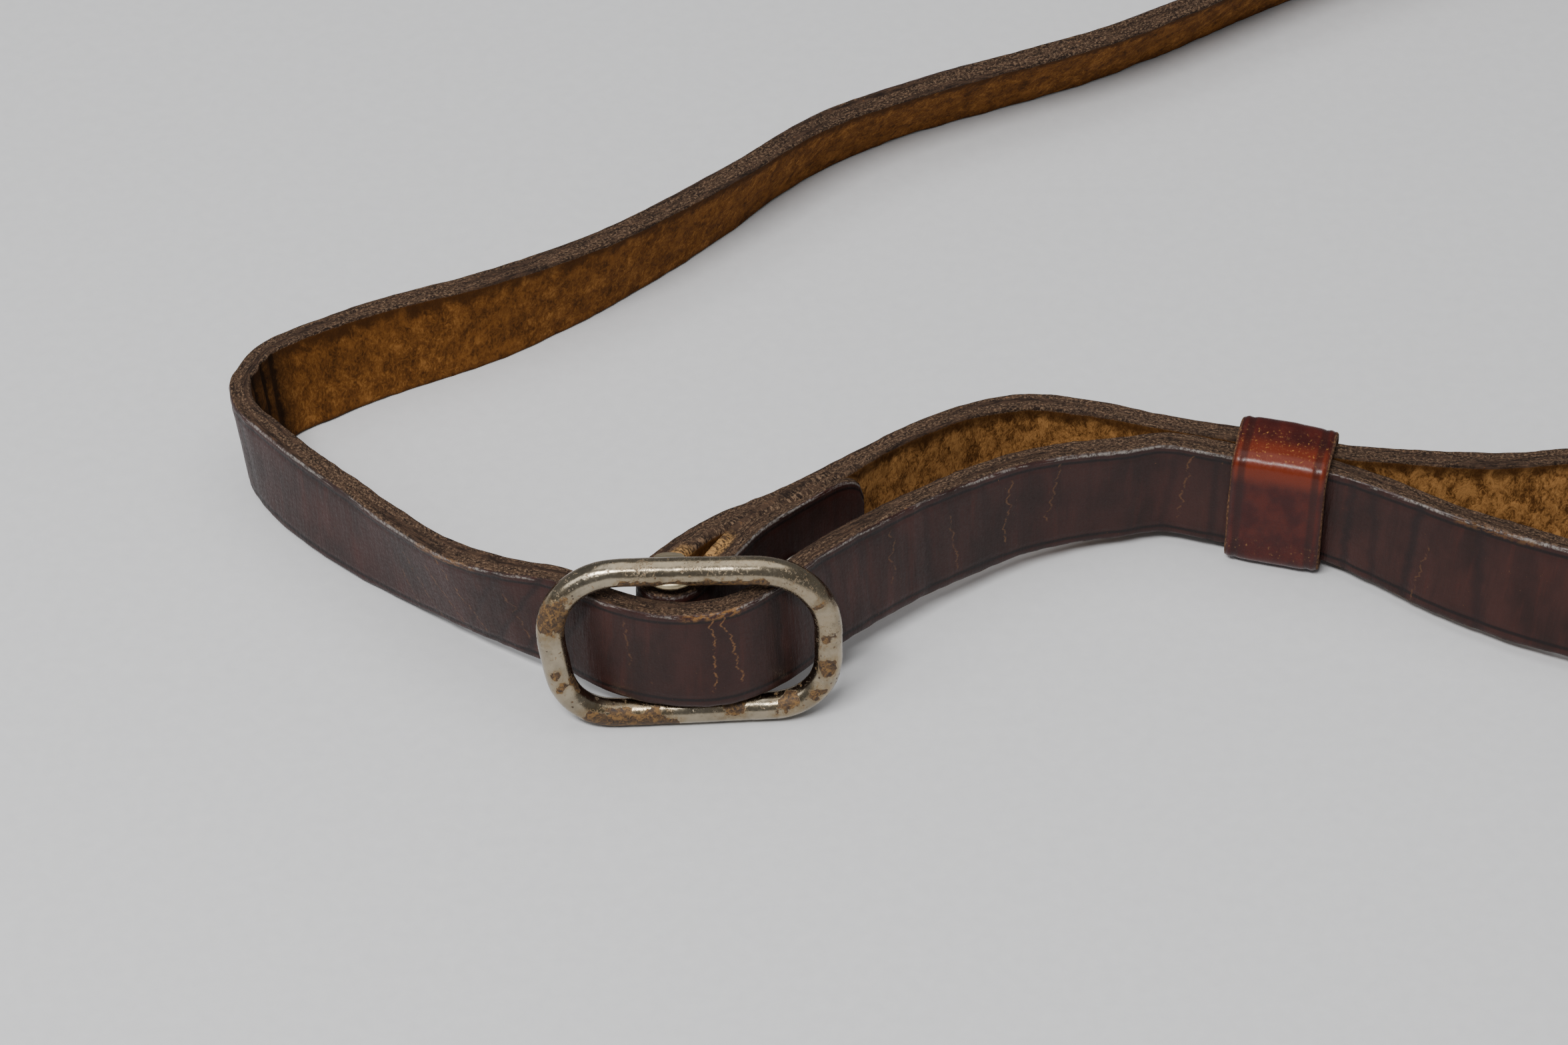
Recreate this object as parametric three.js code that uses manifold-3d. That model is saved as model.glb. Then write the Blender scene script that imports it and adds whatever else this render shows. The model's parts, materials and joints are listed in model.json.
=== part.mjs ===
// A narrow leather guitar strap, standing on its edge on the ground as it does when it is put down.
// One strap is folded round the centre bar of a wire slider and riveted to itself. From there it
// runs through a keeper and round a wire ring, comes back through the keeper and the slider's
// window, turns a tight bend and runs on to its far end. The ring and the far end each carry a
// leather tab with a keyhole for the guitar's strap button. Millimetres, +Z up. Places are measured
// from the ground under the slider, whose long side lies along X; at the end the whole strap moves
// so that its origin is on the ground at the middle of its box.
import * as THREE from "three";
import { mergeVertices } from "three/addons/utils/BufferGeometryUtils.js";
import Module from "manifold-3d";

const wasm = await Module();
wasm.setup();

// Driving dimensions
const STRAP_WIDTH = 16; // a 5/8 in strap
const STRAP_THICKNESS = 3.1; // 8 oz leather
const SKIVED_THICKNESS = 2.7; // thinned to fold round the slider's bar
const TIP_THICKNESS = 2.2; // at the folded end's tip
const SLIDER_WIRE = 3.7;
// The slider's wire was bent by hand, so its corners differ. Each is [x, height, radius] of the
// wire's centre, before the slider leans back and turns.
const SLIDER_CORNERS = [[18.4, 22, 9.5], [-19.3, 22.8, 9], [-15.8, 0, 7.5], [18.4, 0.3, 7.2]];
const BAR_WIRE = 3;
const RING_WIRE = 3;
const RING_LENGTH = 12.6; // between wire centres
const RING_HEIGHT = 21;
const RING_CORNER = 2.4;
const TAB_THICKNESS = 2.4;
const TAB_NECK = 16.4; // width of a tab where it passes through the ring
const TAB_WIDTH = 24;
const RING_TAB_LENGTH = 76; // from the ring's bar to the tab's tip
const END_TAB_LENGTH = 52; // from the strap's end to the tab's tip
const END_TAB_OVERLAP = 24; // over the strap
const BUTTON_HOLE = 7; // diameter
const BUTTON_SLIT = [9, 1.2]; // length and width
const KEEPER_LENGTH = 13; // along the strap
const KEEPER_LEATHER = 1.3;
const KEEPER_CORNER = 1.9; // outside radius
const STAPLE_WIRE = 0.9;
const STAPLE_SPAN = 6;
const RIVET_HEAD = 7; // diameter of a rivet's post head and of its cap
const RIVET_SHANK = 3;
const RIVET_DOME = 1.1; // height of a head or cap

// Clearances
const PIECE_GAP = 0.3; // between neighbours that touch on the real strap
const FLEX_GAP = 1.6; // between two lengths of strap at a bending joint
const LAYER_GAP = 0.5; // between the two layers inside the keeper
const FOLD_GAP = 1.3; // between the folded end and the run that it is riveted to
const KEEPER_PLAY = 1.3; // between the keeper's inside and the two layers
const SHANK_PLAY = 0.15; // round a rivet's shank

// Places
const SLIDER_FOOT = [-0.1, -2.75]; // under the middle of the slider's bottom rail
const SLIDER_LEAN = 7; // degrees that it leans back from upright
const SLIDER_TURN = 3; // degrees that its right end is turned away
const BAR_X = -2; // the bar stands left of the slider's middle
const SLIDER_LIFT = 4.5; // the strap's lower edge clears the slider's bottom rail
const KEEPER_CENTRE = [79.9, 30.9];
const KEEPER_TURN = -14.5; // degrees from +X to the layers inside the keeper
const KEEPER_LIFT = 2; // the strap's lower edge inside the keeper
const RING_BAR = [208, 16]; // the ring bar that the strap turns round
const RING_TURN = 3; // degrees from +X to the far bar
const FAR_END = [404, -22];
const FAR_END_HEADING = 70; // degrees from +X to the strap leaving its far end
const END_LIFT = (TAB_WIDTH - STRAP_WIDTH) / 2; // so that a tab stands on the ground
const FOLD_RIVET = [12.8, 16.4];
const FOLD_RIVET_HEIGHT = 5;
const RUN_FLEX = [150, 191]; // where the strap's long run flexes
const END_FLEX = [424, 90]; // and where it flexes again, nearer its far end

const radians = THREE.MathUtils.degToRad;
const strap = new THREE.Group();

const slider = new THREE.Group();
slider.position.set(...SLIDER_FOOT, SLIDER_WIRE / 2);
slider.rotation.set(-radians(SLIDER_LEAN), 0, radians(SLIDER_TURN), "ZYX");
slider.updateMatrixWorld();
strap.add(slider);

// Where the slider's bar is at a height above the ground.
const barBehindWire = (SLIDER_WIRE + BAR_WIRE) / 2 + PIECE_GAP;
function barAt(height) {
  const foot = slider.localToWorld(new THREE.Vector3(BAR_X, barBehindWire, 0));
  const top = slider.localToWorld(new THREE.Vector3(BAR_X, barBehindWire, 1));
  const point = foot.clone().lerp(top, (height - foot.z) / (top.z - foot.z));
  return [point.x, point.y];
}

// A point on plan, measured along and to the left of a heading from an origin.
function planPoint([x, y], headingDegrees, along, left) {
  const heading = radians(headingDegrees);
  return [
    x + along * Math.cos(heading) - left * Math.sin(heading),
    y + along * Math.sin(heading) + left * Math.cos(heading),
  ];
}

// Path points are [x, y, lift, lean, rake]: the middle of the strap's lower edge on plan, its
// height above the ground, and the degrees that the strap's top leans towards its grain side and
// onwards along the path (none unless given). The grain side is on the right of the way that a
// path is travelled, and on the outside of every turn.

// Points on an arc round a centre, travelled anticlockwise, in equal steps of angle.
function arc(centre, radius, fromDegrees, toDegrees, steps, lift, tiltAt = () => [0, 0]) {
  return Array.from({ length: steps + 1 }, (_, i) => {
    const degrees = fromDegrees + ((toDegrees - fromDegrees) * i) / steps;
    return [...planPoint(centre, degrees, radius, 0), lift, ...tiltAt(degrees)];
  });
}

const layerOffset = (STRAP_THICKNESS + LAYER_GAP) / 2;
const ringLift = (RING_HEIGHT + RING_WIRE - STRAP_WIDTH) / 2;
const besideKeeper = (along, left) => planPoint(KEEPER_CENTRE, KEEPER_TURN, along, left);

const BEND_POINT = [-61, 47.3, 0.3, 6]; // the apex of the tight bend, where the strap flexes

const farRun = [
  [...FAR_END, END_LIFT, 0],
  [...planPoint(FAR_END, FAR_END_HEADING, 14, 0), END_LIFT, 0],
  [...planPoint(FAR_END, FAR_END_HEADING, 28, 0), END_LIFT - 0.6, 0],
  [425, 48, 1, 0], [424, 90, 0, 0], [404, 143, 0, -2], [356, 187, 0, -6],
  [290, 209, 0, -12], [210, 207, 0, -20], [150, 191, 0, -27],
];
const longRun = [
  [98, 165, 0, -31], [60, 140, 0, -32], [29, 125, 0, -31], [15, 115, 0, -26],
  [-1, 97, 0, -19], [-16, 82.5, 0, -14], [-30, 72, 0, -6], [-43, 65, 0, 0],
  [-50, 60.7, 0, 2], [-56.6, 56, 0.1, 3.5], [-59.2, 52.8, 0.2, 5], BEND_POINT,
];
const frontRun = [
  BEND_POINT, [-60.2, 42.8, 0.4, 5], [-57.5, 38, 0.5, 1.5], [-52, 31.6, 0.6, 1],
  [-46, 26.2, 0.7, 2.5], [-39.5, 21.4, 0.8, 7.5], [-30, 13.5, 2.4, 12], [-23.5, 8.7, 3.3, 9],
  [-16.5, 4.3, 3.8, 1.5], [-9.5, -0.9, 4.2, -0.5], [-2.5, -3.4, SLIDER_LIFT, -1],
  [5.2, -3.3, SLIDER_LIFT, -4], [12, 0.5, 4.4, -7], [18, 6.6, 4.3, -8],
  [29.4, 17, 3.7, -6], [42.4, 26, 3, -4], [50, 29.6, 2.5, -2], [58, 32, KEEPER_LIFT, 0],
  ...[-16, -8, 0, 6.5].map((along) => [...besideKeeper(along, -layerOffset), KEEPER_LIFT, 0]),
  [93, 22.7, 1.6, -5], [101, 16.6, 1.4, -10], [115, 8.9, 1.4, -14],
  [135, 2, 1.6, -16], [160, 0.2, 2.2, -11], [186, 3.6, 3.2, -4], [200, 8.8, ringLift, 0],
];
const ringRadius = (RING_WIRE + STRAP_THICKNESS) / 2 + PIECE_GAP;
const ringTurn = arc(RING_BAR, ringRadius, -62, 82, 5, ringLift);
const rearRun = [
  [196, 21.5, 3.4, 0], [170, 26.5, 2, 2], [147, 30.5, 1.2, 3], [125, 31, 1, 2.5],
  [109, 30, 1, 0], [93, 30.8, 1.6, -1],
  ...[6.5, -4, -16].map((along) => [...besideKeeper(along, layerOffset), KEEPER_LIFT, 0]),
  [54, 40.8, 2.1, -4], [46, 42.2, 2.1, -5], [38, 40, 2.3, -4],
  [30.3, 34, 3.1, 0], [20.3, 26, 3.5, 0.6], [10.4, 18.2, 3.9, 1, -1], [2.6, 12.2, 4.3, 2.5, -3],
];
const foldRadius = (BAR_WIRE + SKIVED_THICKNESS) / 2 + PIECE_GAP;
const foldTurn = arc(barAt(SLIDER_LIFT), foldRadius, 135, 322, 7, SLIDER_LIFT,
  (degrees) => planPoint([0, 0], degrees - SLIDER_TURN, SLIDER_LEAN, 0).reverse());
const tail = [
  [5.4, 6.2, SLIDER_LIFT, -4, 3], [9.4, 12.2, 4.4, -4, 1], [15.4, 19, 4, -2], [22.6, 25.2, 3.6, -1],
];

// The strap thins towards its folded end, and again towards the tip. Each stretch is measured
// from the tip.
const TIP_TAPER = [0, 16];
const SKIVE = [60, 110];
function strapThickness(fromTip) {
  const { lerp, smoothstep } = THREE.MathUtils;
  const skived = lerp(TIP_THICKNESS, SKIVED_THICKNESS, smoothstep(fromTip, ...TIP_TAPER));
  return lerp(skived, STRAP_THICKNESS, smoothstep(fromTip, ...SKIVE));
}

// Stations along a smooth path through the points. Each has a foot at its lower edge and its own
// directions: outwards through the grain side, and across the strap's width.
const STEPS_PER_POINT = 4;
function stationsOf(points, thicknessAt) {
  const place = new THREE.CatmullRomCurve3(points.map((point) => new THREE.Vector3(...point)));
  const tilts = new THREE.CatmullRomCurve3(
    points.map(([, , , lean, rake = 0]) => new THREE.Vector3(lean, rake, 0)), false, "catmullrom");
  const count = (points.length - 1) * STEPS_PER_POINT;
  const feet = Array.from({ length: count + 1 }, (_, i) => place.getPoint(i / count));
  const lengths = [0];
  feet.slice(1).forEach((foot, i) => lengths.push(lengths[i] + foot.distanceTo(feet[i])));
  const up = new THREE.Vector3(0, 0, 1);
  return feet.map((foot, i) => {
    const onwards = place.getTangent(i / count);
    const sideways = onwards.clone().cross(up).normalize();
    const tilt = tilts.getPoint(i / count);
    const lean = radians(tilt.x);
    const length = lengths[i];
    const thickness = thicknessAt(lengths[count] - length);
    const across = up.clone().addScaledVector(sideways, Math.tan(lean))
      .addScaledVector(onwards, Math.tan(radians(tilt.y))).normalize();
    const outwards = onwards.clone().cross(across).normalize();
    foot.z = Math.max(0, foot.z) + (Math.abs(Math.sin(lean)) * thickness) / 2;
    return { foot, length, thickness, across, outwards };
  });
}

// The station at a length along a path.
function stationAt(stations, length) {
  const next = Math.max(1, stations.findIndex((station) => station.length >= length));
  const [a, b] = [stations[next - 1], stations[next]];
  const part = (length - a.length) / (b.length - a.length);
  const mixed = (key) => a[key].clone().lerp(b[key], part);
  return {
    length,
    foot: mixed("foot"),
    thickness: THREE.MathUtils.lerp(a.thickness, b.thickness, part),
    across: mixed("across").normalize(),
    outwards: mixed("outwards").normalize(),
  };
}

// The stretch of a path between two lengths.
const SHORTEST_STEP = 0.3;
function between(stations, start, end) {
  const inside = stations.filter(({ length }) =>
    length > start + SHORTEST_STEP && length < end - SHORTEST_STEP);
  return [stationAt(stations, start), ...inside, stationAt(stations, end)];
}

function stationNearest(stations, [x, y]) {
  const distance = ({ foot }) => Math.hypot(foot.x - x, foot.y - y);
  return stations.reduce((best, next) => (distance(next) < distance(best) ? next : best));
}

// A closed body from rings with the same number of corners; a closed path needs no end caps.
function loft(rings, isLoop = false) {
  const corners = rings[0].length;
  const index = [];
  for (let r = 0; r < (isLoop ? rings.length : rings.length - 1); r++) {
    const here = r * corners;
    const next = ((r + 1) % rings.length) * corners;
    for (let i = 0; i < corners; i++) {
      const j = (i + 1) % corners;
      index.push(here + i, here + j, next + j, here + i, next + j, next + i);
    }
  }
  if (!isLoop) {
    const last = (rings.length - 1) * corners;
    for (let i = 1; i < corners - 1; i++) {
      index.push(0, i + 1, i);
      index.push(last, last + i, last + i + 1);
    }
  }
  const positions = rings.flat().flatMap((point) => point.toArray());
  return new THREE.BufferGeometry()
    .setAttribute("position", new THREE.Float32BufferAttribute(positions, 3))
    .setIndex(index);
}

// A strip of leather standing on its edge; its width runs from a low to a high distance across.
function strip(stations, widthAt = () => [0, STRAP_WIDTH]) {
  return loft(stations.map((station) => {
    const [low, high] = widthAt(station.length);
    const corner = (side, height) => station.foot.clone()
      .addScaledVector(station.outwards, (side * station.thickness) / 2)
      .addScaledVector(station.across, height);
    return [corner(1, low), corner(-1, low), corner(-1, high), corner(1, high)];
  }));
}

// Solids for cutting, and back again.
function solidOf(geometry) {
  const plain = geometry.index ? geometry.toNonIndexed() : geometry.clone();
  plain.deleteAttribute("normal");
  plain.deleteAttribute("uv");
  const merged = mergeVertices(plain, 1e-4);
  return new wasm.Manifold(new wasm.Mesh({
    numProp: 3,
    vertProperties: merged.attributes.position.array,
    triVerts: new Uint32Array(merged.index.array),
  }));
}

function geometryOf(solid) {
  const { vertProperties, triVerts } = solid.getMesh();
  return new THREE.BufferGeometry()
    .setAttribute("position", new THREE.BufferAttribute(vertProperties, 3))
    .setIndex(new THREE.BufferAttribute(triVerts, 1));
}

function cut(geometry, cutters) {
  return geometryOf(
    cutters.reduce((body, cutter) => body.subtract(solidOf(cutter)), solidOf(geometry)));
}

function joined(first, second) {
  return geometryOf(solidOf(first).add(solidOf(second)));
}

// Materials
function material(color, roughness, metalness = 0) {
  return new THREE.MeshStandardMaterial({ color, roughness, metalness });
}
const strapLeather = material(0x35211e, 0.5);
const keeperLeather = material(0x5c1c10, 0.3);
const tabLeather = material(0x3d2018, 0.55);
const nickelledSteel = material(0xb5b0a4, 0.35, 0.9);
const rivetSteel = material(0x8e877a, 0.45, 0.9);

function add(parent, name, geometry, look) {
  geometry.computeVertexNormals();
  const mesh = new THREE.Mesh(geometry, look);
  mesh.name = name;
  parent.add(mesh);
}

// A round wire bent into a closed loop in the XZ plane, through rounded [x, z, radius] corners.
const WIRE_SIDES = 14;
const WIRE_STEPS = 8; // in each corner
function wireLoop(corners, diameter) {
  const points = corners.map(([x, z]) => new THREE.Vector2(x, z));
  const rings = corners.flatMap(([, , radius], i) => {
    const towards = points.at(i - 1).clone().sub(points[i]).normalize();
    const onwards = points[(i + 1) % points.length].clone().sub(points[i]).normalize();
    const halfAngle = Math.acos(towards.dot(onwards)) / 2;
    const inwards = towards.add(onwards).normalize();
    const centre = points[i].clone().addScaledVector(inwards, radius / Math.sin(halfAngle));
    return Array.from({ length: WIRE_STEPS + 1 }, (_, k) => {
      const turn = (Math.PI - 2 * halfAngle) * (k / WIRE_STEPS - 0.5);
      const outward = inwards.clone().negate().rotateAround(new THREE.Vector2(), turn);
      return Array.from({ length: WIRE_SIDES }, (_, side) => {
        const round = (2 * Math.PI * side) / WIRE_SIDES;
        const reach = radius + (diameter / 2) * Math.cos(round);
        const point = centre.clone().addScaledVector(outward, reach);
        return new THREE.Vector3(point.x, (diameter / 2) * Math.sin(round), point.y);
      });
    });
  });
  return loft(rings, true);
}

// Rivets. A post has a domed head and a shank; a cap is a dome with a blind hole for the shank.
// Both are turned about Z, with the leather between z = 0 and z = grip.
const RIVET_SIDES = 18;
const shankHole = RIVET_SHANK / 2 + SHANK_PLAY;

function turned(profile) {
  const points = profile.map(([r, z]) => new THREE.Vector2(r, z));
  return new THREE.LatheGeometry(points, RIVET_SIDES).rotateX(Math.PI / 2);
}

function dome(z, direction) {
  const rim = RIVET_HEAD / 2;
  return [[rim, z], [rim, z + direction * RIVET_DOME * 0.3],
    [rim * 0.75, z + direction * RIVET_DOME * 0.75], [0, z + direction * RIVET_DOME]];
}

function rivetPost(grip) {
  const seat = -PIECE_GAP / 2;
  const top = grip + RIVET_DOME * 0.4;
  return turned([...dome(seat, -1).reverse(), [RIVET_SHANK / 2, seat], [RIVET_SHANK / 2, top],
    [0, top]]);
}

function rivetCap(grip) {
  const seat = grip + PIECE_GAP / 2;
  const roof = grip + RIVET_DOME * 0.7;
  return turned([[0, roof], [shankHole, roof], [shankHole, seat], ...dome(seat, 1)]);
}

// Adds a rivet through the leather and returns the drill for its hole. The face is where the
// shank's axis enters the leather, and the direction is along the shank.
function rivet(name, face, direction, grip) {
  const place = new THREE.Matrix4().makeRotationFromQuaternion(
    new THREE.Quaternion().setFromUnitVectors(new THREE.Vector3(0, 0, 1), direction));
  place.setPosition(face);
  add(strap, `${name}_post`, rivetPost(grip).applyMatrix4(place), rivetSteel);
  add(strap, `${name}_cap`, rivetCap(grip).applyMatrix4(place), rivetSteel);
  return new THREE.CylinderGeometry(shankHole, shankHole, grip * 1.6, RIVET_SIDES)
    .rotateX(Math.PI / 2).translate(0, 0, grip / 2).applyMatrix4(place);
}

// The strap. It is one piece of leather, parted here at its bending joints.
const loopStations = stationsOf([...frontRun, ...ringTurn, ...rearRun, ...foldTurn, ...tail],
  strapThickness);
const longStations = stationsOf([...farRun, ...longRun], () => STRAP_THICKNESS);
const runFlex = stationNearest(longStations, RUN_FLEX).length;
const endFlex = stationNearest(longStations, END_FLEX).length;
const longEnd = longStations.at(-1).length;

const foldStation = stationNearest(loopStations.slice(-4 * STEPS_PER_POINT), FOLD_RIVET);
const foldFace = foldStation.foot.clone().addScaledVector(foldStation.across, FOLD_RIVET_HEIGHT)
  .addScaledVector(foldStation.outwards, (SKIVED_THICKNESS + PIECE_GAP) / 2);
const foldGrip = 2 * SKIVED_THICKNESS + FOLD_GAP + PIECE_GAP / 2;
const foldDrill = rivet("fold_rivet", foldFace, foldStation.outwards.clone().negate(), foldGrip);
const loopStrip = strip(between(loopStations, FLEX_GAP / 2, loopStations.at(-1).length));
add(strap, "loop_run", cut(loopStrip, [foldDrill]), strapLeather);
add(strap, "long_run",
  strip(between(longStations, runFlex + FLEX_GAP / 2, longEnd - FLEX_GAP / 2)), strapLeather);
add(strap, "far_run",
  strip(between(longStations, endFlex + FLEX_GAP / 2, runFlex - FLEX_GAP / 2)), strapLeather);

// The slider: a wire frame with a centre bar brazed behind its rails.
add(slider, "slider_frame", wireLoop(SLIDER_CORNERS, SLIDER_WIRE), nickelledSteel);
const barHeight = SLIDER_CORNERS[0][1];
add(slider, "slider_bar",
  new THREE.CylinderGeometry(BAR_WIRE / 2, BAR_WIRE / 2, barHeight + 1.4, WIRE_SIDES)
    .rotateX(Math.PI / 2).translate(BAR_X, barBehindWire, barHeight / 2), nickelledSteel);

// The keeper: a band of thin leather round both layers, lapped behind and stapled.
const keeper = new THREE.Group();
keeper.position.set(...KEEPER_CENTRE, KEEPER_LIFT + STRAP_WIDTH / 2);
keeper.rotation.z = radians(KEEPER_TURN);
strap.add(keeper);
const keeperInside = [
  2 * STRAP_THICKNESS + LAYER_GAP + KEEPER_PLAY, // through the layers
  STRAP_WIDTH + 2 * PIECE_GAP,
];

function roundedRectangle(path, depth, height, radius) {
  const x = depth / 2 - radius;
  const y = height / 2 - radius;
  path.moveTo(x + radius, -y);
  path.absarc(x, y, radius, 0, Math.PI / 2);
  path.absarc(-x, y, radius, Math.PI / 2, Math.PI);
  path.absarc(-x, -y, radius, Math.PI, 1.5 * Math.PI);
  path.absarc(x, -y, radius, 1.5 * Math.PI, 2 * Math.PI);
  return path;
}

// Turns an outline of depth and height into a band along X.
function extrudedAlongX(shape, length) {
  return new THREE.ExtrudeGeometry(shape, { depth: length, bevelEnabled: false, curveSegments: 5 })
    .translate(0, 0, -length / 2).rotateX(Math.PI / 2).rotateZ(Math.PI / 2);
}

const bandOutline = roundedRectangle(new THREE.Shape(), keeperInside[0] + 2 * KEEPER_LEATHER,
  keeperInside[1] + 2 * KEEPER_LEATHER, KEEPER_CORNER);
bandOutline.holes.push(roundedRectangle(new THREE.Path(), ...keeperInside,
  KEEPER_CORNER - KEEPER_LEATHER));
const keeperBack = keeperInside[0] / 2 + KEEPER_LEATHER;

// The staple: its legs go through the lapped ends at the back, and its crown lies along X.
const staplePlay = 2 * SHANK_PLAY;
const legDepth = 2 * KEEPER_LEATHER - PIECE_GAP;
const lapBack = keeperBack + KEEPER_LEATHER * 0.8;
function stapleOutline() {
  const halfSpan = STAPLE_SPAN / 2;
  const crown = lapBack + PIECE_GAP;
  const corners = [
    [-halfSpan, crown - legDepth], [-halfSpan, crown + STAPLE_WIRE],
    [halfSpan, crown + STAPLE_WIRE], [halfSpan, crown - legDepth],
    [halfSpan - STAPLE_WIRE, crown - legDepth], [halfSpan - STAPLE_WIRE, crown],
    [STAPLE_WIRE - halfSpan, crown], [STAPLE_WIRE - halfSpan, crown - legDepth],
  ];
  return new THREE.Shape(corners.map((corner) => new THREE.Vector2(...corner)));
}
const LAP_HEIGHT = 10;
const lap = new THREE.BoxGeometry(KEEPER_LENGTH, KEEPER_LEATHER, LAP_HEIGHT)
  .translate(0, lapBack - KEEPER_LEATHER / 2, 0);
const legHoles = [-1, 1].map((side) => {
  const width = STAPLE_WIRE + staplePlay;
  return new THREE.BoxGeometry(width, 6 * KEEPER_LEATHER, width)
    .translate(side * (STAPLE_SPAN - STAPLE_WIRE) / 2, keeperBack, 0);
});
add(keeper, "keeper_band",
  cut(joined(extrudedAlongX(bandOutline, KEEPER_LENGTH), lap), legHoles), keeperLeather);
add(keeper, "keeper_staple",
  new THREE.ExtrudeGeometry(stapleOutline(), { depth: STAPLE_WIRE, bevelEnabled: false })
    .translate(0, 0, -STAPLE_WIRE / 2), rivetSteel);

// The ring
const ring = new THREE.Group();
ring.position.set(...RING_BAR, RING_WIRE / 2);
ring.rotation.z = radians(RING_TURN);
strap.add(ring);
add(ring, "ring", wireLoop([
  [RING_LENGTH, RING_HEIGHT, RING_CORNER], [0, RING_HEIGHT, RING_CORNER], [0, 0, RING_CORNER],
  [RING_LENGTH, 0, RING_CORNER],
], RING_WIRE), nickelledSteel);

// Tabs. Each has a rounded tip, with a keyhole for the strap button near it. The half width at a
// distance from the tip grows over the rounding, and narrows again towards a neck.
const TIP_FLAT = 0.8; // from the tip's middle to where its rounding is measured
function tabHalfWidth(fromTip, neckFrom = Infinity) {
  const round = TAB_WIDTH / 2;
  const reach = Math.min(fromTip + TIP_FLAT, round);
  const rounding = Math.sqrt(round * round - (round - reach) ** 2);
  const necking = THREE.MathUtils.smoothstep(fromTip, neckFrom, neckFrom + TAB_WIDTH);
  return THREE.MathUtils.lerp(rounding, TAB_NECK / 2, necking);
}

// The drills for a keyhole through a tab, with its slit towards the ring or strap.
function keyhole(origin, heading, fromOrigin, left) {
  const [x, y] = planPoint(origin, heading, fromOrigin, left);
  const [slitLength, slitWidth] = BUTTON_SLIT;
  const round = new THREE.CylinderGeometry(BUTTON_HOLE / 2, BUTTON_HOLE / 2, 10, 24);
  const slit = new THREE.BoxGeometry(slitLength, 10, slitWidth).translate(-slitLength / 2, 0, 0);
  return [round, slit].map((drill) =>
    drill.rotateZ(radians(heading)).translate(x, y, TAB_WIDTH / 2));
}

// The ring's tab is folded round the ring's far bar and riveted to itself.
const farBar = planPoint(RING_BAR, RING_TURN, RING_LENGTH, 0);
const besideTab = (along, left) => [...planPoint(farBar, RING_TURN, along, left), TAB_WIDTH / 2, 0];
const tabFold = (RING_WIRE + TAB_THICKNESS) / 2 + PIECE_GAP;
const tabLayer = (TAB_THICKNESS + PIECE_GAP) / 2;
const TAB_RETURN = 24; // length of the folded end
const ringTabStations = stationsOf([
  ...[RING_TAB_LENGTH, 74, 71, 67, 62, 52, 42, 32, 22, 12].map((x) => besideTab(x, tabLayer)),
  besideTab(6, tabLayer + 0.6),
  ...arc(farBar, tabFold, RING_TURN + 78, RING_TURN + 282, 7, TAB_WIDTH / 2),
  besideTab(6, -tabLayer - 0.6), besideTab(12, -tabLayer), besideTab(TAB_RETURN, -tabLayer),
], () => TAB_THICKNESS);
const ringTabEnd = ringTabStations.at(-1).length;
const ringTabWidth = (length) => {
  const half = length > ringTabEnd / 2 + tabFold ? TAB_NECK / 2 : tabHalfWidth(length, 34);
  return [-half, half];
};
const RIVET_ALONG = 16.5;
const tabAcross = new THREE.Vector3(-Math.sin(radians(RING_TURN)), Math.cos(radians(RING_TURN)), 0);
const tabGrip = 2 * TAB_THICKNESS + PIECE_GAP;
const tabDrill = rivet("ring_tab_rivet",
  new THREE.Vector3(...besideTab(RIVET_ALONG, -tabGrip / 2)), tabAcross, tabGrip);
add(strap, "ring_tab", cut(strip(ringTabStations, ringTabWidth),
  [tabDrill, ...keyhole(farBar, RING_TURN, RING_TAB_LENGTH - 17, tabLayer)]), tabLeather);

// The far end's tab is lapped on the strap's flesh side and held by two rivets.
const endHeading = FAR_END_HEADING + 180;
const endLayer = (STRAP_THICKNESS + TAB_THICKNESS) / 2 + PIECE_GAP;
const besideEnd = (along, left) => [...planPoint(FAR_END, endHeading, along, left), TAB_WIDTH / 2, 0];
const endTabStations = stationsOf(
  [END_TAB_LENGTH, 50, 47, 43, 38, 28, 18, 8, 0, -12, -END_TAB_OVERLAP]
    .map((x) => besideEnd(x, endLayer)), () => TAB_THICKNESS);
const endTabWidth = (length) => {
  const half = tabHalfWidth(length, 30);
  return [-half, half];
};
const END_RIVETS = [-7, -17];
const endAcross = new THREE.Vector3(-Math.sin(radians(endHeading)), Math.cos(radians(endHeading)), 0);
const endGrip = STRAP_THICKNESS + PIECE_GAP + TAB_THICKNESS;
const endDrills = END_RIVETS.map((along, i) => rivet(`end_rivet_${i + 1}`,
  new THREE.Vector3(...besideEnd(along, -STRAP_THICKNESS / 2)), endAcross, endGrip));
add(strap, "end_run", cut(strip(between(longStations, 0, endFlex - FLEX_GAP / 2)), endDrills),
  strapLeather);
add(strap, "end_tab", cut(strip(endTabStations, endTabWidth),
  [...endDrills, ...keyhole(FAR_END, endHeading, END_TAB_LENGTH - 17, endLayer)]), tabLeather);

const box = new THREE.Box3().setFromObject(strap, true);
const middle = box.getCenter(new THREE.Vector3());
strap.position.set(-middle.x, -middle.y, -box.min.z);

export default strap;
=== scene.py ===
# The looks of a narrow leather guitar strap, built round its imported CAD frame. Metres, +Z up.
import json
import math

import bmesh
import bpy
import numpy as np
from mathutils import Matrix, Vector
from mathutils.kdtree import KDTree


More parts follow.
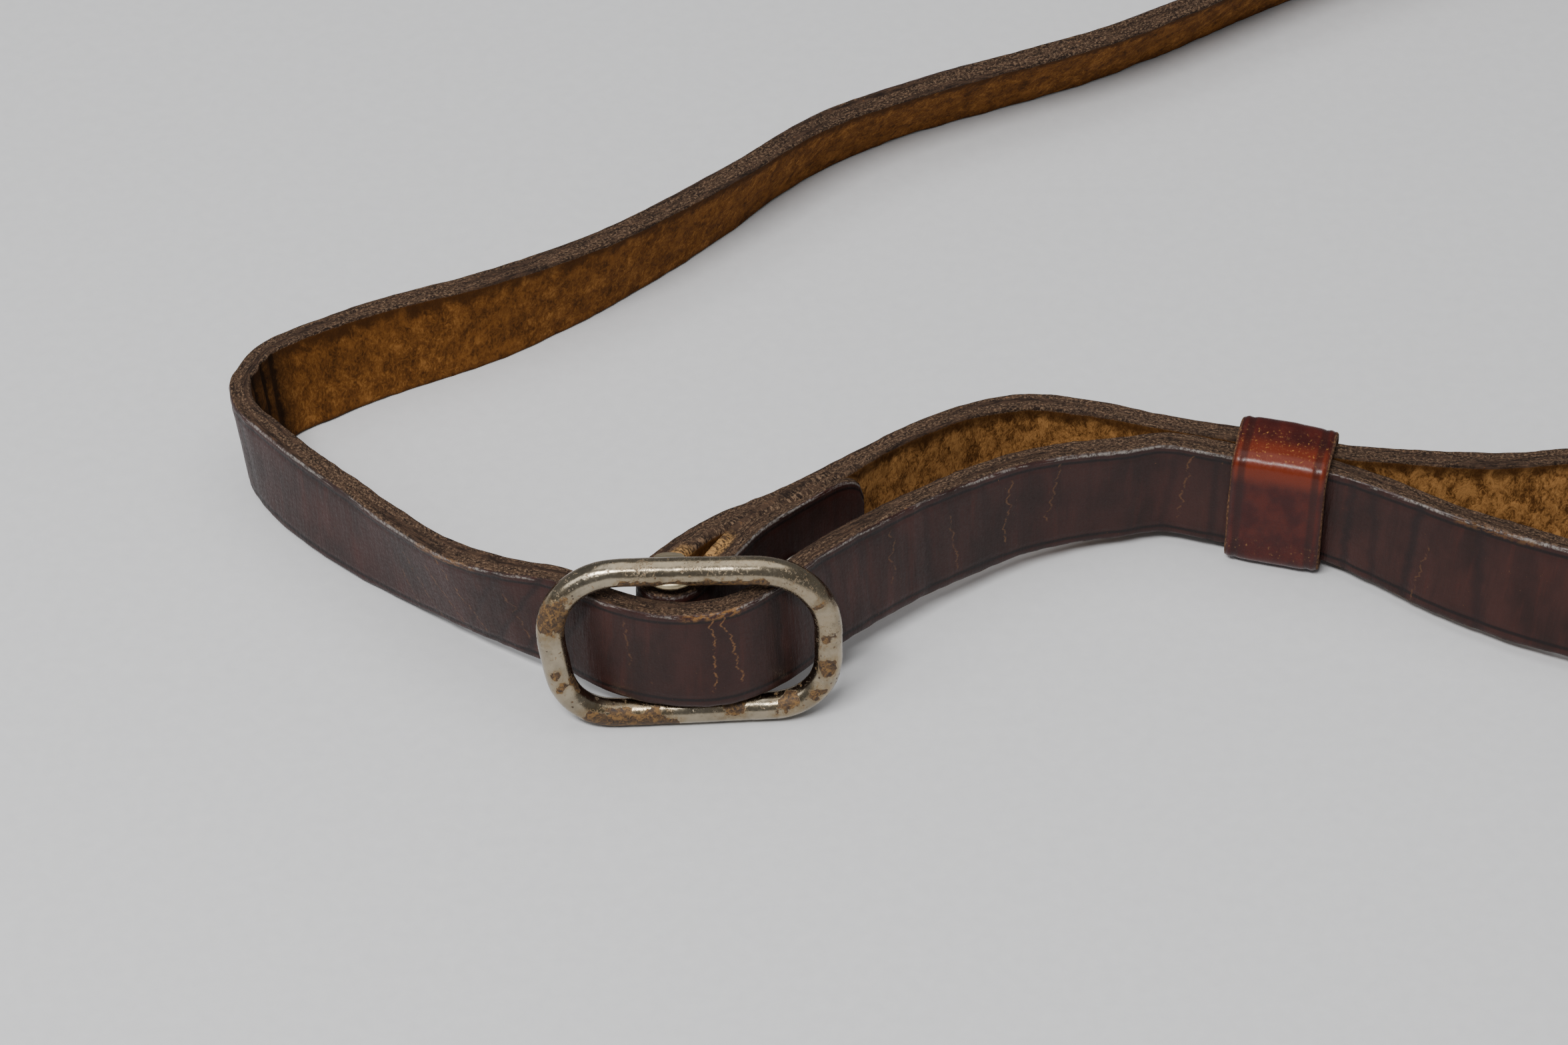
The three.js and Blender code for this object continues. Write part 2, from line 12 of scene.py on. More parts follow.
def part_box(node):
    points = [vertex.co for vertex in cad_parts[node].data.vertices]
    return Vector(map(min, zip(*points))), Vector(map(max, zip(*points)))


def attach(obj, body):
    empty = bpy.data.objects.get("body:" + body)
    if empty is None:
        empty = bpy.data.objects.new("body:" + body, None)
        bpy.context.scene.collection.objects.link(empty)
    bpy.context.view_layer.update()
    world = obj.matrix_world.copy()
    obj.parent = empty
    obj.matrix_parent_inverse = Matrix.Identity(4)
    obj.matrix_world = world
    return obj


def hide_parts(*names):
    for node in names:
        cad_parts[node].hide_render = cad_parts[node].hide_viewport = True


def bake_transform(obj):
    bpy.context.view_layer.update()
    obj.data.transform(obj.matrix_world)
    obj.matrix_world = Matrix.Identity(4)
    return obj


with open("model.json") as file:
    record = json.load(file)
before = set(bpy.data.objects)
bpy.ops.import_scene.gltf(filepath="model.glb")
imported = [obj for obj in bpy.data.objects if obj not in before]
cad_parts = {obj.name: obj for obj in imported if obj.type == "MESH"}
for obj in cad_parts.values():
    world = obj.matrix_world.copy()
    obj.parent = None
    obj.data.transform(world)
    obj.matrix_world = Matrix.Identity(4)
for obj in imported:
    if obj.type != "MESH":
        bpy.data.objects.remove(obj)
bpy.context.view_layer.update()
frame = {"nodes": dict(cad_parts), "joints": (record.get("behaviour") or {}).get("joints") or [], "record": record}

MM = 0.001
joints = {joint["name"]: joint for joint in frame["joints"]}
openings = {opening["name"]: opening["box_m"] for opening in frame["record"]["physics"]["openings"]}
SWIVEL, RING_BAR, FAR_BAR, BEND, RUN_FLEX, END_FLEX = (
    np.array(joints[name]["pos_m"]) for name in
    ("slider_swivel", "ring_swing", "tab_swing", "bend_flex", "run_flex", "end_flex"))
UP = np.array([0.0, 0.0, 1.0])


# ---- numbers and noise

def smoothstep(value, low, high):
    part = np.clip((value - low) / (high - low), 0, 1)
    return part * part * (3 - 2 * part)


def bell(value, middle, width):
    return np.exp(-(((value - middle) / width) ** 2))


def unit(vectors):
    return vectors / np.linalg.norm(vectors, axis=-1, keepdims=True)


def noise(points, seed=0):
    """Smooth noise from -1 to 1 at each of the points, with features about one unit across."""
    points = np.asarray(points, float)
    cell = np.floor(points).astype(np.int64)
    part = points - cell
    part = part * part * (3 - 2 * part)
    total = np.zeros(len(points))
    for corner in np.ndindex(2, 2, 2):
        # The next lines mix the corner's place into a number that looks random.
        at = (cell + corner + 4096).astype(np.uint64)
        mixed = at[:, 0] * 374761393 + at[:, 1] * 668265263 + at[:, 2] * 2246822519 + seed * 97 + 1
        mixed = (mixed & 0xFFFFFFFF) * 2654435761
        mixed = ((mixed ^ (mixed >> 15)) & 0xFFFFFFFF) * 2246822519
        mixed = (mixed ^ (mixed >> 13)) & 0xFFFFFFFF
        weight = np.prod(np.where(corner, part, 1 - part), axis=1)
        total += weight * (mixed / 2.0**31 - 1)
    return total


def along_across(s, h, s_size, h_size, seed):
    """Noise over a strip, with features of the given sizes along and across it."""
    return noise(np.stack([s / s_size, h / h_size, np.zeros_like(s)], 1), seed)


def lengths_of(points):
    steps = np.linalg.norm(np.diff(points, axis=0), axis=1)
    return np.concatenate([[0], np.cumsum(steps)])


def curve_through(lengths, values, wanted):
    """A smooth curve through values at lengths, read at the wanted lengths."""
    slopes = np.gradient(values, lengths, axis=0)
    right = np.clip(np.searchsorted(lengths, wanted), 1, len(lengths) - 1)
    left = right - 1
    span = lengths[right] - lengths[left]
    t = np.clip((wanted - lengths[left]) / span, 0, 1)
    if values.ndim > 1:
        span, t = span[:, None], t[:, None]
    return ((2 * t**3 - 3 * t**2 + 1) * values[left] + (t**3 - 2 * t**2 + t) * span * slopes[left]
            + (3 * t**2 - 2 * t**3) * values[right] + (t**3 - t**2) * span * slopes[right])


# ---- reading the frame

def points_of(piece):
    return np.array([vertex.co for vertex in piece.data.vertices])


def merged(node):
    """A CAD node as a bmesh whose doubled vertices are welded."""
    mesh = bmesh.new()
    mesh.from_mesh(frame["nodes"][node].data)
    bmesh.ops.remove_doubles(mesh, verts=mesh.verts, dist=2e-6)
    mesh.normal_update()
    mesh.verts.ensure_lookup_table()
    return mesh


SHARP = 0.9  # radians


def edge_chains(node):
    """A strip's long sharp edges, each from one end corner to another, as arrays of points."""
    mesh = merged(node)
    near = {}
    for edge in mesh.edges:
        if len(edge.link_faces) == 2 and edge.calc_face_angle() > SHARP:
            a, b = (vertex.index for vertex in edge.verts)
            near.setdefault(a, []).append(b)
            near.setdefault(b, []).append(a)
    groups, seen = [], set()
    for first in near:
        group, waiting = [], [first]
        while waiting:
            vertex = waiting.pop()
            if vertex not in seen:
                seen.add(vertex)
                group.append(vertex)
                waiting += near[vertex]
        groups.append(group)
    outline = max(groups, key=len)
    ends = [vertex for vertex in outline if len(near[vertex]) == 3]
    chains = {}
    for end in ends:
        for second in near[end]:
            if second in ends:
                continue
            chain = [end, second]
            while chain[-1] not in ends:
                chain.append(next(v for v in near[chain[-1]] if v != chain[-2]))
            chains[frozenset((chain[0], chain[-1]))] = np.array([mesh.verts[v].co for v in chain])
    mesh.free()
    return list(chains.values())


def strip_of(node, start):
    """The stations of a strip's node from the end nearest to start: its grain side's low and high
    corners, the way out of the grain side, and its thickness."""
    chains = edge_chains(node)
    if len(chains) == 2:  # a tab, whose tip has no corners: each chain goes out low and comes back
        halves = [half for chain in chains for half in (chain[:len(chain) // 2],
                                                        chain[len(chain) // 2:])]
    else:
        halves = chains
    flip = [np.linalg.norm(half[0] - start) > np.linalg.norm(half[-1] - start) for half in halves]
    halves = [half[::-1] if turned else half for half, turned in zip(halves, flip)]
    halves.sort(key=lambda half: half[:, 2].mean())
    grain_low, flesh_low = sorted(halves[:2], key=lambda half: -lengths_of(half)[-1])
    grain_high, flesh_high = sorted(halves[2:], key=lambda half: -lengths_of(half)[-1])
    through = (grain_low + grain_high - flesh_low - flesh_high) / 2
    return {"low": grain_low, "high": grain_high, "out": unit(through),
            "thick": np.linalg.norm(through, axis=1)}


def joined(strips):
    return {key: np.concatenate([strip[key] for strip in strips]) for key in strips[0]}


def resampled(strip, wanted_step):
    """The strip with smoothly curved stations at a step, or at the steps that a function gives."""
    middle = (strip["low"] + strip["high"]) / 2
    lengths = lengths_of(middle)
    wanted = [0.0]
    while wanted[-1] < lengths[-1]:
        wanted.append(wanted[-1] + wanted_step(wanted[-1]))
    wanted = np.array(wanted[:-1] + [lengths[-1]])
    fine = {key: curve_through(lengths, values, wanted) for key, values in strip.items()}
    across = unit(fine["high"] - fine["low"])
    fine["out"] = unit(fine["out"] - (fine["out"] * across).sum(1)[:, None] * across)
    fine["s"] = wanted
    return fine


def part_of(strip, start, end):
    keep = (strip["s"] >= start - 1e-9) & (strip["s"] <= end + 1e-9)
    return {key: values[keep] for key, values in strip.items()}


# ---- meshes

def linked(name, data):
    piece = bpy.data.objects.new(name, data)
    bpy.context.scene.collection.objects.link(piece)
    return piece


def smooth_faces(mesh):
    mesh.polygons.foreach_set("use_smooth", [True] * len(mesh.polygons))


def mesh_object(name, vertices, faces, look):
    mesh = bpy.data.meshes.new(name)
    mesh.from_pydata(np.array(vertices).tolist(), [], faces)
    mesh.validate()
    smooth_faces(mesh)
    mesh.materials.append(look)
    return linked(name, mesh)


def marked(piece, name, first, second, third):
    """Stores three numbers on each vertex of a piece for its look to read."""
    mark = piece.data.attributes.new(name, "FLOAT_VECTOR", "POINT")
    mark.data.foreach_set("vector", np.stack([first, second, third], 1).astype(np.float32).ravel())


def grid_faces(rings, corners, closed=False):
    r = np.arange(rings if closed else rings - 1)[:, None]
    i = np.arange(corners)[None]
    here, following = r * corners, ((r + 1) % rings) * corners
    j = (i + 1) % corners
    quads = np.stack([here + i, here + j, following + j, following + i], -1)
    return quads.reshape(-1, 4).tolist()


def tube_faces(rings, corners):
    """The faces of a tube that is closed at both ends."""
    last = (rings - 1) * corners
    return grid_faces(rings, corners) + [list(range(corners))[::-1], list(range(last, last + corners))]


def spokes(first, second, sides):
    """The ways out all round, from two ways that are square to each other."""
    turn = np.linspace(0, 2 * math.pi, sides, endpoint=False)[:, None]
    return np.cos(turn) * first[..., None, :] + np.sin(turn) * second[..., None, :]


class Outline:
    """Points round a cross-section as [out, up] places, with the ways that they face."""

    def __init__(self):
        self.places, self.normals = [], []

    def straight(self, start, end, normal, shares):
        for t in shares:
            self.places.append([start[0] + (end[0] - start[0]) * t, start[1] + (end[1] - start[1]) * t])
            self.normals.append(normal)

    def corner(self, centre, radius, degrees):
        for turn in np.radians(degrees):
            out, up = math.cos(turn), math.sin(turn)
            self.places.append([centre[0] + radius * out, centre[1] + radius * up])
            self.normals.append([out, up])


def profile(width, thickness, count, edge_points):
    """Points round a strip's cross-section, measured from its grain side's low corner."""
    outline = Outline()
    g, f = 0.55 * MM, 0.4 * MM  # the roundings of the grain and flesh corners

    def side(start, end, normal, count):
        outline.straight(start, end, normal, np.linspace(0, 1, count + 2)[1:-1])

    outline.corner([-g, g], g, np.linspace(-90, 0, 5))
    side([0, g], [0, width - g], [1, 0], count)
    outline.corner([-g, width - g], g, np.linspace(0, 90, 5))
    side([-g, width], [f - thickness, width], [0, 1], edge_points)
    outline.corner([f - thickness, width - f], f, np.linspace(90, 180, 5))
    side([-thickness, width - f], [-thickness, f], [-1, 0], count * 2 // 3)
    outline.corner([f - thickness, f], f, np.linspace(180, 270, 5))
    side([f - thickness, 0], [-g, 0], [0, -1], edge_points)
    return np.array(outline.places), np.array(outline.normals)


def ribbon(name, strip, relief, look, across_points=30, edge_points=6, ends=None):
    """A strip of leather as one closed mesh. relief(s, h, width, share, normal) gives how far each
    point stands out of the plain strip, in mm, and ends(s, h) how far its height changes.
    A vector attribute, place, holds each point's distance along and across, in mm, and its share
    of the way from the flesh side to the grain side."""
    widths = np.linalg.norm(strip["high"] - strip["low"], axis=1)
    across = unit(strip["high"] - strip["low"])
    rings, marks, flats = [], [], []
    for i, width in enumerate(widths):
        thickness = strip["thick"][i]
        places, normals = profile(width, thickness, across_points, edge_points)
        rings.append(strip["low"][i] + places[:, :1] * strip["out"][i] + places[:, 1:] * across[i])
        flats.append(normals[:, :1] * strip["out"][i] + normals[:, 1:] * across[i])
        marks.append(np.stack([np.full(len(places), strip["s"][i] / MM), places[:, 1] / MM,
                               1 + places[:, 0] / thickness, normals[:, 0],
                               np.full(len(places), width / MM)], 1))
    corners = len(rings[0])
    points = np.concatenate(rings)
    outwards = np.concatenate(flats)
    s, h, share, facing, width = np.concatenate(marks).T
    points = points + outwards * (relief(s, h, width, share, facing) * MM)[:, None]
    if ends is not None:
        points = points + np.repeat(across, corners, 0) * (ends(s, h) * MM)[:, None]
    faces = [face[::-1] for face in tube_faces(len(rings), corners)]
    piece = mesh_object(name, points, faces, look)
    face_outwards(piece)
    marked(piece, "place", s, h, share)
    mark_sharp(piece, 60)
    return piece


def face_outwards(piece):
    mesh = bmesh.new()
    mesh.from_mesh(piece.data)
    if mesh.calc_volume(signed=True) < 0:
        piece.data.flip_normals()
    mesh.free()


def mark_sharp(piece, degrees):
    mesh = bmesh.new()
    mesh.from_mesh(piece.data)
    for edge in mesh.edges:
        if len(edge.link_faces) == 2 and edge.calc_face_angle() > math.radians(degrees):
            edge.smooth = False
    mesh.to_mesh(piece.data)
    mesh.free()


def in_place_of(node, piece, body=None):
    """Shows a piece instead of a CAD node, riding on the given body if there is one."""
    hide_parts(node)
    if body:
        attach(piece, body)


def with_modifier(piece, kind, **settings):
    modifier = piece.modifiers.new(kind.lower(), kind)
    for key, value in settings.items():
        setattr(modifier, key, value)


def applied(piece):
    """Bakes a piece's modifiers into its mesh."""
    evaluated = piece.evaluated_get(bpy.context.evaluated_depsgraph_get())
    mesh = bpy.data.meshes.new_from_object(evaluated)
    piece.modifiers.clear()
    piece.data = mesh


# ---- material nodes

class Look:
    """A node material, with short calls for the nodes that the looks share."""

    def __init__(self, name):
        self.material = bpy.data.materials.new(name)
        self.material.use_nodes = True
        self.tree = self.material.node_tree
        self.shader = self.tree.nodes["Principled BSDF"]

    def node(self, kind, settings=(), **inputs):
        made = self.tree.nodes.new("ShaderNode" + kind)
        for key, value in dict(settings).items():
            setattr(made, key, value)
        for key, value in inputs.items():
            self.feed(made.inputs[int(key[1:]) if key[0] == "i" and key[1:].isdigit() else key], value)
        return made

    def feed(self, socket, value):
        if isinstance(value, bpy.types.NodeSocket):
            self.tree.links.new(value, socket)
        elif isinstance(value, (tuple, list)) and len(value) == 3 and socket.type == "RGBA":
            socket.default_value = (*value, 1)
        else:
            socket.default_value = value

    def math(self, operation, a, b=0.0, c=0.0, clamp=False):
        return self.node("Math", {"operation": operation, "use_clamp": clamp},
                         i0=a, i1=b, i2=c).outputs[0]

    def add(self, a, b):
        return self.math("ADD", a, b)

    def times(self, first, *others):
        for other in others:
            first = self.math("MULTIPLY", first, other)
        return first

    def ease(self, value, low, high, to_low=0.0, to_high=1.0):
        """Goes smoothly from to_low to to_high as the value goes from low to high."""
        made = self.node("MapRange", {"interpolation_type": "SMOOTHSTEP"},
                         i0=value, i1=low, i2=high, i3=to_low, i4=to_high)
        return made.outputs[0]

    def near(self, value, middle, reach, soft):
        """1 within reach of the middle value, and 0 beyond reach + soft."""
        away = self.math("ABSOLUTE", self.math("SUBTRACT", value, middle))
        return self.ease(away, reach, reach + soft, 1.0, 0.0)

    def mix(self, a, b, *shares):
        """Colour a with as much of colour b as the shares come to when multiplied."""
        made = self.node("Mix", {"data_type": "RGBA", "clamp_factor": True})
        self.feed(made.inputs[0], self.times(*shares))
        self.feed(made.inputs[6], a)
        self.feed(made.inputs[7], b)
        return made.outputs[2]

    def vector(self, x, y, z):
        return self.node("CombineXYZ", i0=x, i1=y, i2=z).outputs[0]

    def scaled(self, vector, scale):
        scale = (*scale, 1.0)[:3] if isinstance(scale, tuple) else (scale, scale, scale)
        return self.node("VectorMath", {"operation": "MULTIPLY"}, i0=vector, i1=scale).outputs[0]

    def noise(self, vector, scale, detail=3.0, rough=0.55, distortion=0.0):
        """Fractal noise from about 0.25 to 0.75, with about scale features to the unit."""
        return self.node("TexNoise", Vector=self.scaled(vector, scale), Scale=1.0, Detail=detail,
                         Roughness=rough, Distortion=distortion).outputs["Fac"]

    def cells(self, vector, scale):
        """Distance from the nearest of scattered points, about scale of them to the unit."""
        made = self.node("TexVoronoi", Vector=self.scaled(vector, scale), Scale=1.0)
        return made.outputs["Distance"]

    def attribute(self, name):
        """The three numbers that marked() stored on each vertex."""
        stored = self.node("Attribute", {"attribute_name": name}).outputs["Vector"]
        return self.node("SeparateXYZ", i0=stored).outputs

    def pushed(self, value, noise, reach):
        """The value moved to and fro by a noise, over about a half of the reach in all."""
        return self.add(value, self.times(self.math("SUBTRACT", noise, 0.5), reach))

    def millimetres(self):
        place = self.node("TexCoord").outputs["Object"]
        return self.scaled(place, 1 / MM)

    def bump(self, height, depth, strength=1.0, under=None):
        made = self.node("Bump", Height=height, Distance=depth * MM, Strength=strength)
        if under is not None:
            self.feed(made.inputs["Normal"], under)
        return made.outputs[0]

    def finish(self, **inputs):
        for key, value in inputs.items():
            self.feed(self.shader.inputs[key.replace("_", " ")], value)
        return self.material


def place_of(look):
    """Distance along, distance across and share from flesh to grain, and a place for noise that
    differs between a strip's sides."""
    s, h, share = look.attribute("place")
    return s, h, share, look.vector(s, h, look.times(share, 5.0))


DARK_GRAIN = (0.0185, 0.0082, 0.0068)
PLUM_GRAIN = (0.041, 0.0145, 0.012)
RED_GRAIN = (0.064, 0.017, 0.012)
EDGE_LINE = (0.008, 0.005, 0.005)
PAINTED_CREASE_SHADE = (0.012, 0.007, 0.007)
CRACK = (0.20, 0.095, 0.035)
GOLD_WEAR = (0.34, 0.165, 0.045)
FLAKE_AND_GLINT = (0.30, 0.275, 0.25)
EDGE_DARK = (0.020, 0.0135, 0.011)
EDGE_BROWN = (0.062, 0.037, 0.025)
EDGE_DUST = (0.175, 0.112, 0.070)
EDGE_RUST = (0.21, 0.082, 0.022)
SUEDE_DARK = (0.050, 0.019, 0.0055)
SUEDE = (0.185, 0.071, 0.0155)
SUEDE_LIGHT = (0.37, 0.17, 0.047)
SUEDE_FIBRE = (0.54, 0.275, 0.092)
TORN_FIBRE = (0.36, 0.20, 0.075)
PAINTED_SHADE = (0.012, 0.006, 0.003)


def strap_grain(look, place, fine, top):
    """The smooth side's colour and roughness."""
    s, h, share, where = place
    blotches = look.noise(where, (0.13, 0.09), 4)
    streaks = look.noise(where, (0.55, 0.06), 4)
    grain = look.mix(DARK_GRAIN, PLUM_GRAIN, look.ease(blotches, 0.28, 0.72))
    grain = look.mix(grain, RED_GRAIN, look.ease(streaks, 0.5, 0.72, 0.0, 0.36))
    grain = look.mix(grain, DARK_GRAIN, look.ease(streaks, 0.46, 0.3, 0.0, 0.5))
    from_edge = look.math("MINIMUM", h, top)
    grain = look.mix(grain, EDGE_LINE, look.near(from_edge, 1.35, 0.08, 0.3), 0.9)
    flecks = look.ease(look.noise(where, (1.7, 1.2), 5, 0.75), 0.66, 0.71)
    grain = look.mix(grain, CRACK, flecks, 0.55)
    wander = look.noise(look.vector(look.times(h, 0.55), look.times(s, 0.05), 3.0), 1, 3)
    broken = look.ease(look.noise(where, (0.7, 1.1), 3, 0.7), 0.42, 0.56)
    for at, low, high, lean, depth in CRACKS:
        line = look.add(look.pushed(s, wander, 3.2), look.times(h, -lean))
        reached = look.near(h, (low + high) / 2, (high - low) / 2 - 0.6, 0.6)
        grain = look.mix(grain, CRACK, look.near(line, at, 0.03, 0.2), reached, broken, depth)
    # Painted shade: each wrinkle's trough is also darkened in colour.
    for at, reach, depth, lean in WRINKLES:
        line = look.add(look.pushed(s, wander, 1.5), look.times(h, -lean))
        grain = look.mix(grain, PAINTED_CREASE_SHADE, look.near(line, at, 0.1, reach), depth * 4)

    # A pale line along the grain's top corner: partly lifted, flaking grain and partly a painted highlight where
    # the rounded corner catches the light.
    lifted = look.noise(where, (0.11, 0.5), 5, 0.75)
    flake_and_glint = look.times(look.near(look.pushed(top, lifted, 0.9), 0.40, 0.06, 0.3),
                       look.ease(share, 0.86, 0.93), look.ease(fine, 0.38, 0.58, 0.1, 0.7))
    grain = look.mix(grain, FLAKE_AND_GLINT, flake_and_glint, look.ease(lifted, 0.44, 0.53))
    for at, reach, strength in SCUFFS:
        patchy = look.ease(look.noise(where, (0.9, 1.6), 4, 0.7), 0.44, 0.56, 0.0, strength)
        grain = look.mix(grain, GOLD_WEAR, look.near(s, at, reach, 2.0), look.ease(top, 1.5, 0.7), patchy)
    return grain, look.ease(fine, 0.3, 0.7, 0.34, 0.54)


def strap_look():
    """Old vegetable-tanned leather: smooth on its grain side, layered along its cut edges and
    hairy on its flesh side."""
    look = Look("strap_leather")
    place = place_of(look)
    s, h, share, where = place
    top = look.math("SUBTRACT", STRAP_WIDTH, h)
    fine = look.noise(where, (2.6, 1.8), 4, 0.7)
    grain, rough = strap_grain(look, place, fine, top)

    fibres = look.noise(where, (0.35, 1.0, 1.4), 5, 0.72)
    grit = look.noise(where, (2.2, 3.0, 2.2), 4, 0.75)
    layer = look.noise(where, (0.05, 0.3, 0.7), 3)
    edge = look.mix(EDGE_DARK, EDGE_BROWN, look.ease(fibres, 0.4, 0.62))
    edge = look.mix(edge, EDGE_DUST, look.ease(grit, 0.46, 0.64), look.ease(layer, 0.32, 0.58))
    edge = look.mix(edge, EDGE_RUST, look.ease(grit, 0.58, 0.7), look.ease(fibres, 0.5, 0.62))

    mottle = look.noise(where, (0.42, 0.30), 5, 0.62, 0.6)
    hair = look.noise(where, (1.5, 0.8), 5, 0.72, 1.4)
    cloud = look.noise(where, (0.09, 0.12), 3)
    nap = look.add(look.times(mottle, 0.38), look.add(look.times(hair, 0.45), look.times(fine, 0.17)))
    suede = look.mix(SUEDE_DARK, SUEDE, look.ease(nap, 0.37, 0.58))
    suede = look.mix(suede, SUEDE_LIGHT, look.ease(nap, 0.50, 0.66, 0.0, 0.8), look.ease(cloud, 0.3, 0.6))
    for at, reach, soft, strength in FUZZY:
        fuzz = look.ease(nap, 0.41, 0.585, 0.08 * strength, strength)
        suede = look.mix(suede, SUEDE_FIBRE, look.near(s, at, reach, soft), fuzz)
    suede = look.mix(suede, SUEDE_DARK, look.ease(look.pushed(top, mottle, 5.0), 3.2, 0.8, 0.0, 0.85))
    suede = look.mix(suede, SUEDE_DARK, look.ease(h, 1.0, 0.1, 0.0, 0.6))
    # Painted shade: the suede is darkened where shade falls, in the bend's creases and round the fold.
    for at, reach, soft, depth in PAINTED_SHADES:
        suede = look.mix(suede, PAINTED_SHADE, look.near(look.pushed(s, mottle, 2.0), at, reach, soft), depth)
    for at, reach, soft in TORN:
        pale = look.times(look.near(s, at, reach, soft), look.ease(share, 0.42, 0.16),
                          look.ease(top, 3.0, 1.2), look.ease(grit, 0.42, 0.56, 0.1, 1.0))
        edge = look.mix(edge, TORN_FIBRE, pale)
        suede = look.mix(suede, TORN_FIBRE, pale)

    ragged = look.pushed(share, fine, 0.12)
    is_grain = look.ease(ragged, 0.90, 0.95)
    is_suede = look.times(look.ease(ragged, 0.10, 0.05), look.ease(look.pushed(top, fine, 0.48), 0.30, 0.55))
    colour = look.mix(look.mix(edge, suede, is_suede), grain, is_grain)
    roughness = look.add(look.times(is_grain, look.math("SUBTRACT", rough, 0.86)), 0.86)

    pores = look.noise(where, (3.4, 2.6), 3, 0.6)
    creases = look.noise(where, (1.5, 0.16), 4, 0.62)
    smooth_side = look.add(look.times(pores, 0.35), creases)
    hairy_side = look.add(look.times(hair, 1.6), look.times(mottle, 1.2))
    height = look.mix(look.mix(look.add(grit, fibres), hairy_side, is_suede), smooth_side, is_grain)
    relief = look.bump(height, 1.0, look.add(look.times(is_grain, -0.20), 0.34))
    return look.finish(Base_Color=colour, Roughness=roughness, Normal=relief,
                       Specular_IOR_Level=look.ease(share, 0.85, 0.95, 0.06, 0.24))


KEEPER_DARK = (0.036, 0.0048, 0.0038)
KEEPER_RED = (0.068, 0.0095, 0.0055)
KEEPER_LIT_RED = (0.150, 0.022, 0.007)
KEEPER_GOLD = (0.42, 0.20, 0.05)
KEEPER_CREASE = (0.018, 0.005, 0.004)
KEEPER_RIM = (0.032, 0.008, 0.006)
KEEPER_WORN = (0.32, 0.17, 0.06)
RAW_DARK = (0.045, 0.018, 0.010)
RAW_PALE = (0.17, 0.085, 0.04)


def keeper_look(length, band):
    """Glossy oxblood leather, worn golden along its top."""
    look = Look("keeper_leather")
    s, h, share, where = place_of(look)
    blotch = look.noise(where, (0.22, 0.3), 4)
    grit = look.noise(where, (2.0, 2.0), 5, 0.7)
    red = look.mix(KEEPER_DARK, KEEPER_RED, look.ease(blotch, 0.35, 0.65))
    # Painted light: the red is brighter round the top front corner, where the key light falls.
    top = look.near(s, band["top"], 2.2, 2.6)
    red = look.mix(red, KEEPER_LIT_RED, top, 0.8)
    gold = look.near(s, band["top"] + 3.0, 2.6, 1.5)
    red = look.mix(red, KEEPER_GOLD, gold, look.ease(grit, 0.575, 0.66, 0.0, 0.75))
    from_side = look.math("MINIMUM", h, look.math("SUBTRACT", length, h))
    red = look.mix(red, KEEPER_CREASE, look.near(from_side, 1.5, 0.25, 0.5), 0.62)
    red = look.mix(red, KEEPER_RIM, look.ease(from_side, 0.9, 0.1, 0.0, 0.6))
    red = look.mix(red, KEEPER_WORN, look.near(s, band["low"], 0.9, 0.9), look.ease(grit, 0.6, 0.68))
    raw = look.mix(RAW_DARK, RAW_PALE, look.ease(grit, 0.42, 0.62))
    is_grain = look.ease(share, 0.80, 0.92)
    relief = look.bump(look.add(look.times(grit, 0.3), blotch), 0.5, 0.14)
    rough = look.add(look.times(is_grain, -0.62), look.ease(grit, 0.3, 0.7, 0.84, 0.97))
    return look.finish(Base_Color=look.mix(raw, red, is_grain), Normal=relief, Roughness=rough,
                       Specular_IOR_Level=0.27)


TAB_DARK = (0.052, 0.022, 0.013)
TAB_BROWN = (0.105, 0.043, 0.021)
TAB_STAIN = (0.030, 0.015, 0.011)
TAB_RAW_DARK = (0.085, 0.034, 0.012)
TAB_RAW = (0.20, 0.085, 0.026)


def tab_look():
    """The brown leather of the keyhole tabs: smooth outside, raw inside, dark along its edges."""
    look = Look("tab_leather")
    _, _, share, where = place_of(look)
    blotch = look.noise(where, (0.12, 0.15), 4)
    fine = look.noise(where, (2.4, 2.4), 4, 0.7)
    brown = look.mix(TAB_DARK, TAB_BROWN, look.ease(blotch, 0.35, 0.65))
    brown = look.mix(brown, TAB_STAIN, look.ease(fine, 0.56, 0.72, 0.0, 0.6))
    hair = look.noise(where, (1.2, 0.5), 5, 0.7, 1.2)
    raw = look.mix(TAB_RAW_DARK, TAB_RAW, look.ease(hair, 0.32, 0.66))
    edge = look.mix(EDGE_DARK, EDGE_BROWN, look.ease(fine, 0.4, 0.65))
    is_grain = look.ease(share, 0.86, 0.95)
    is_raw = look.ease(share, 0.10, 0.04)
    colour = look.mix(look.mix(edge, raw, is_raw), brown, is_grain)
    relief = look.bump(look.add(fine, look.times(blotch, 2.0)), 0.6, 0.2)
    return look.finish(Base_Color=colour, Normal=relief,
                       Roughness=look.add(look.times(is_grain, -0.4), look.ease(fine, 0.3, 0.7, 0.8, 0.92)))


NICKEL = (0.365, 0.31, 0.225)
BRASS = (0.50, 0.42, 0.27)
STEEL = (0.42, 0.385, 0.33)
RUST_DARK = (0.022, 0.011, 0.006)
RUST = (0.088, 0.046, 0.017)
RUST_ORANGE = (0.21, 0.112, 0.034)
RUST_FILM = (0.23, 0.15, 0.065)


